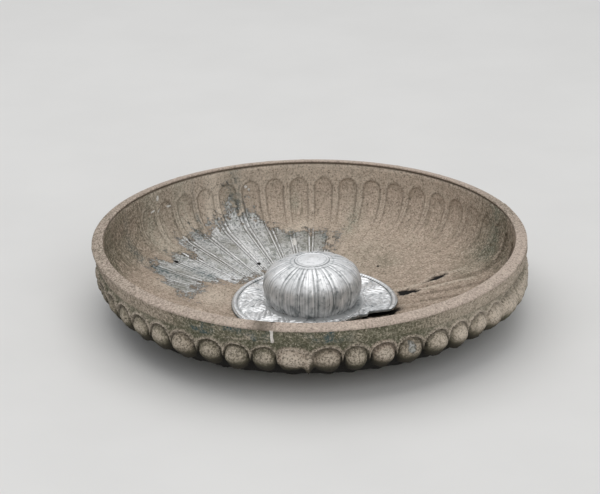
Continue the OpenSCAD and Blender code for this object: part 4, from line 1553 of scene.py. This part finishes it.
# Places and sizes in metres, and the camera's sensor in millimetres
FLOOR_HALF = 6.0
FLOOR_SHADE = 0.97
KEY_PLACE = (-0.12, 0.2, 1.0)
KEY_SIZE = 1.2
FILL_PLACE = (0.3, -1.0, 0.8)
FILL_SIZE = 0.9
WORLD_COLOUR = (0.95, 0.97, 1.0, 1.0)
WORLD_STRENGTH = 0.5
SENSOR_WIDTH = 36.0


class PHIALE_OT_stage(Operator):
    """Set the pale floor, the soft lamps and the camera"""

    bl_idname = "phiale.stage"
    bl_label = "Stage"

    def execute(self, context):
        stage = context.scene.phiale_stage
        target = Vector((0.0, 0.0, context.scene.phiale_bowl.height))
        self.add_floor(context)
        self.add_lamp(context, "key_lamp", KEY_PLACE, KEY_SIZE, stage.key_power)
        self.add_lamp(context, "fill_lamp", FILL_PLACE, FILL_SIZE, stage.fill_power)
        self.add_world(context)
        self.add_camera(context, stage, target)
        context.scene.view_settings.view_transform = "Standard"
        return {"FINISHED"}

    def add_floor(self, context):
        """Wide pale floor under the bowl."""
        corners = np.array(((-1.0, -1.0, 0.0), (1.0, -1.0, 0.0), (1.0, 1.0, 0.0), (-1.0, 1.0, 0.0)))
        floor = solid("pale_floor", FLOOR_HALF * corners, [(0, 1, 2, 3)], {})
        finish = Finish("pale_floor", roughness=0.8)
        shade = tuple(FLOOR_SHADE * part for part in context.scene.phiale_colours.floor)
        tint = finish.between(finish.grain(60.0 * MM), 0.3, 0.7)
        finish.put("Base Color", finish.mix(tint, context.scene.phiale_colours.floor, shade))
        floor.data.materials.append(finish.material)

    def add_lamp(self, context, name, place, size, power):
        """Square soft lamp that faces the bowl."""
        data = bpy.data.lights.new(name, "AREA")
        data.energy = power
        data.size = size
        lamp = bpy.data.objects.new(name, data)
        lamp.location = place
        lamp.rotation_euler = (-Vector(place)).to_track_quat("-Z", "Y").to_euler()
        context.scene.collection.objects.link(lamp)

    def add_world(self, context):
        """Even pale surroundings."""
        world = bpy.data.worlds.new("pale_world")
        world.use_nodes = True
        background = world.node_tree.nodes["Background"]
        background.inputs["Color"].default_value = WORLD_COLOUR
        background.inputs["Strength"].default_value = WORLD_STRENGTH
        context.scene.world = world

    def add_camera(self, context, stage, target):
        """Camera at the photograph's angle."""
        data = bpy.data.cameras.new("camera")
        data.lens = stage.lens
        data.sensor_width = SENSOR_WIDTH
        camera = bpy.data.objects.new("camera", data)
        back = Vector((0.0, -math.cos(stage.elevation), math.sin(stage.elevation)))
        camera.location = target + back * stage.distance
        look = (-back).to_track_quat("-Z", "Y")
        roll = Euler((0.0, 0.0, stage.roll)).to_quaternion()
        aim = Euler((-stage.tilt, stage.pan, 0.0)).to_quaternion() @ roll
        camera.rotation_euler = (look @ aim).to_euler()
        context.scene.collection.objects.link(camera)
        context.scene.camera = camera


class PHIALE_PT_surfaces(Panel):
    """Buttons for the phiale's pieces"""

    bl_label = "Phiale"
    bl_idname = "PHIALE_PT_surfaces"
    bl_space_type = "VIEW_3D"
    bl_region_type = "UI"
    bl_category = "Phiale"

    def draw(self, context):
        for operator in OPERATORS:
            self.layout.operator(operator.bl_idname)
        for group in GROUPS:
            settings = getattr(context.scene, group)
            for key in settings.bl_rna.properties.keys():
                if key not in ("rna_type", "name"):
                    self.layout.prop(settings, key)


OPERATORS = (
    PHIALE_OT_bowl,
    PHIALE_OT_crack_fill,
    PHIALE_OT_collar,
    PHIALE_OT_border_wire,
    PHIALE_OT_boss,
    PHIALE_OT_cap,
    PHIALE_OT_solder,
    PHIALE_OT_stage,
)
GROUPS = {
    "phiale_bowl": PhialeBowlSizes,
    "phiale_boss": PhialeBossSizes,
    "phiale_colours": PhialeColours,
    "phiale_stage": PhialeStage,
}
CLASSES = (*GROUPS.values(), *OPERATORS, PHIALE_PT_surfaces)


def register():
    """Registers the classes and the scene's settings."""
    for item in CLASSES:
        bpy.utils.register_class(item)
    for name, group in GROUPS.items():
        setattr(bpy.types.Scene, name, PointerProperty(type=group))


def unregister():
    """Removes the classes and the scene's settings."""
    for name in GROUPS:
        delattr(bpy.types.Scene, name)
    for item in reversed(CLASSES):
        bpy.utils.unregister_class(item)


def main():
    """Builds every piece and the stage."""
    register()
    bpy.ops.phiale.bowl()
    bpy.ops.phiale.crack_fill()
    bpy.ops.phiale.collar()
    bpy.ops.phiale.border_wire()
    bpy.ops.phiale.boss()
    bpy.ops.phiale.cap()
    bpy.ops.phiale.solder()
    bpy.ops.phiale.stage()


if __name__ == "__main__":
    main()
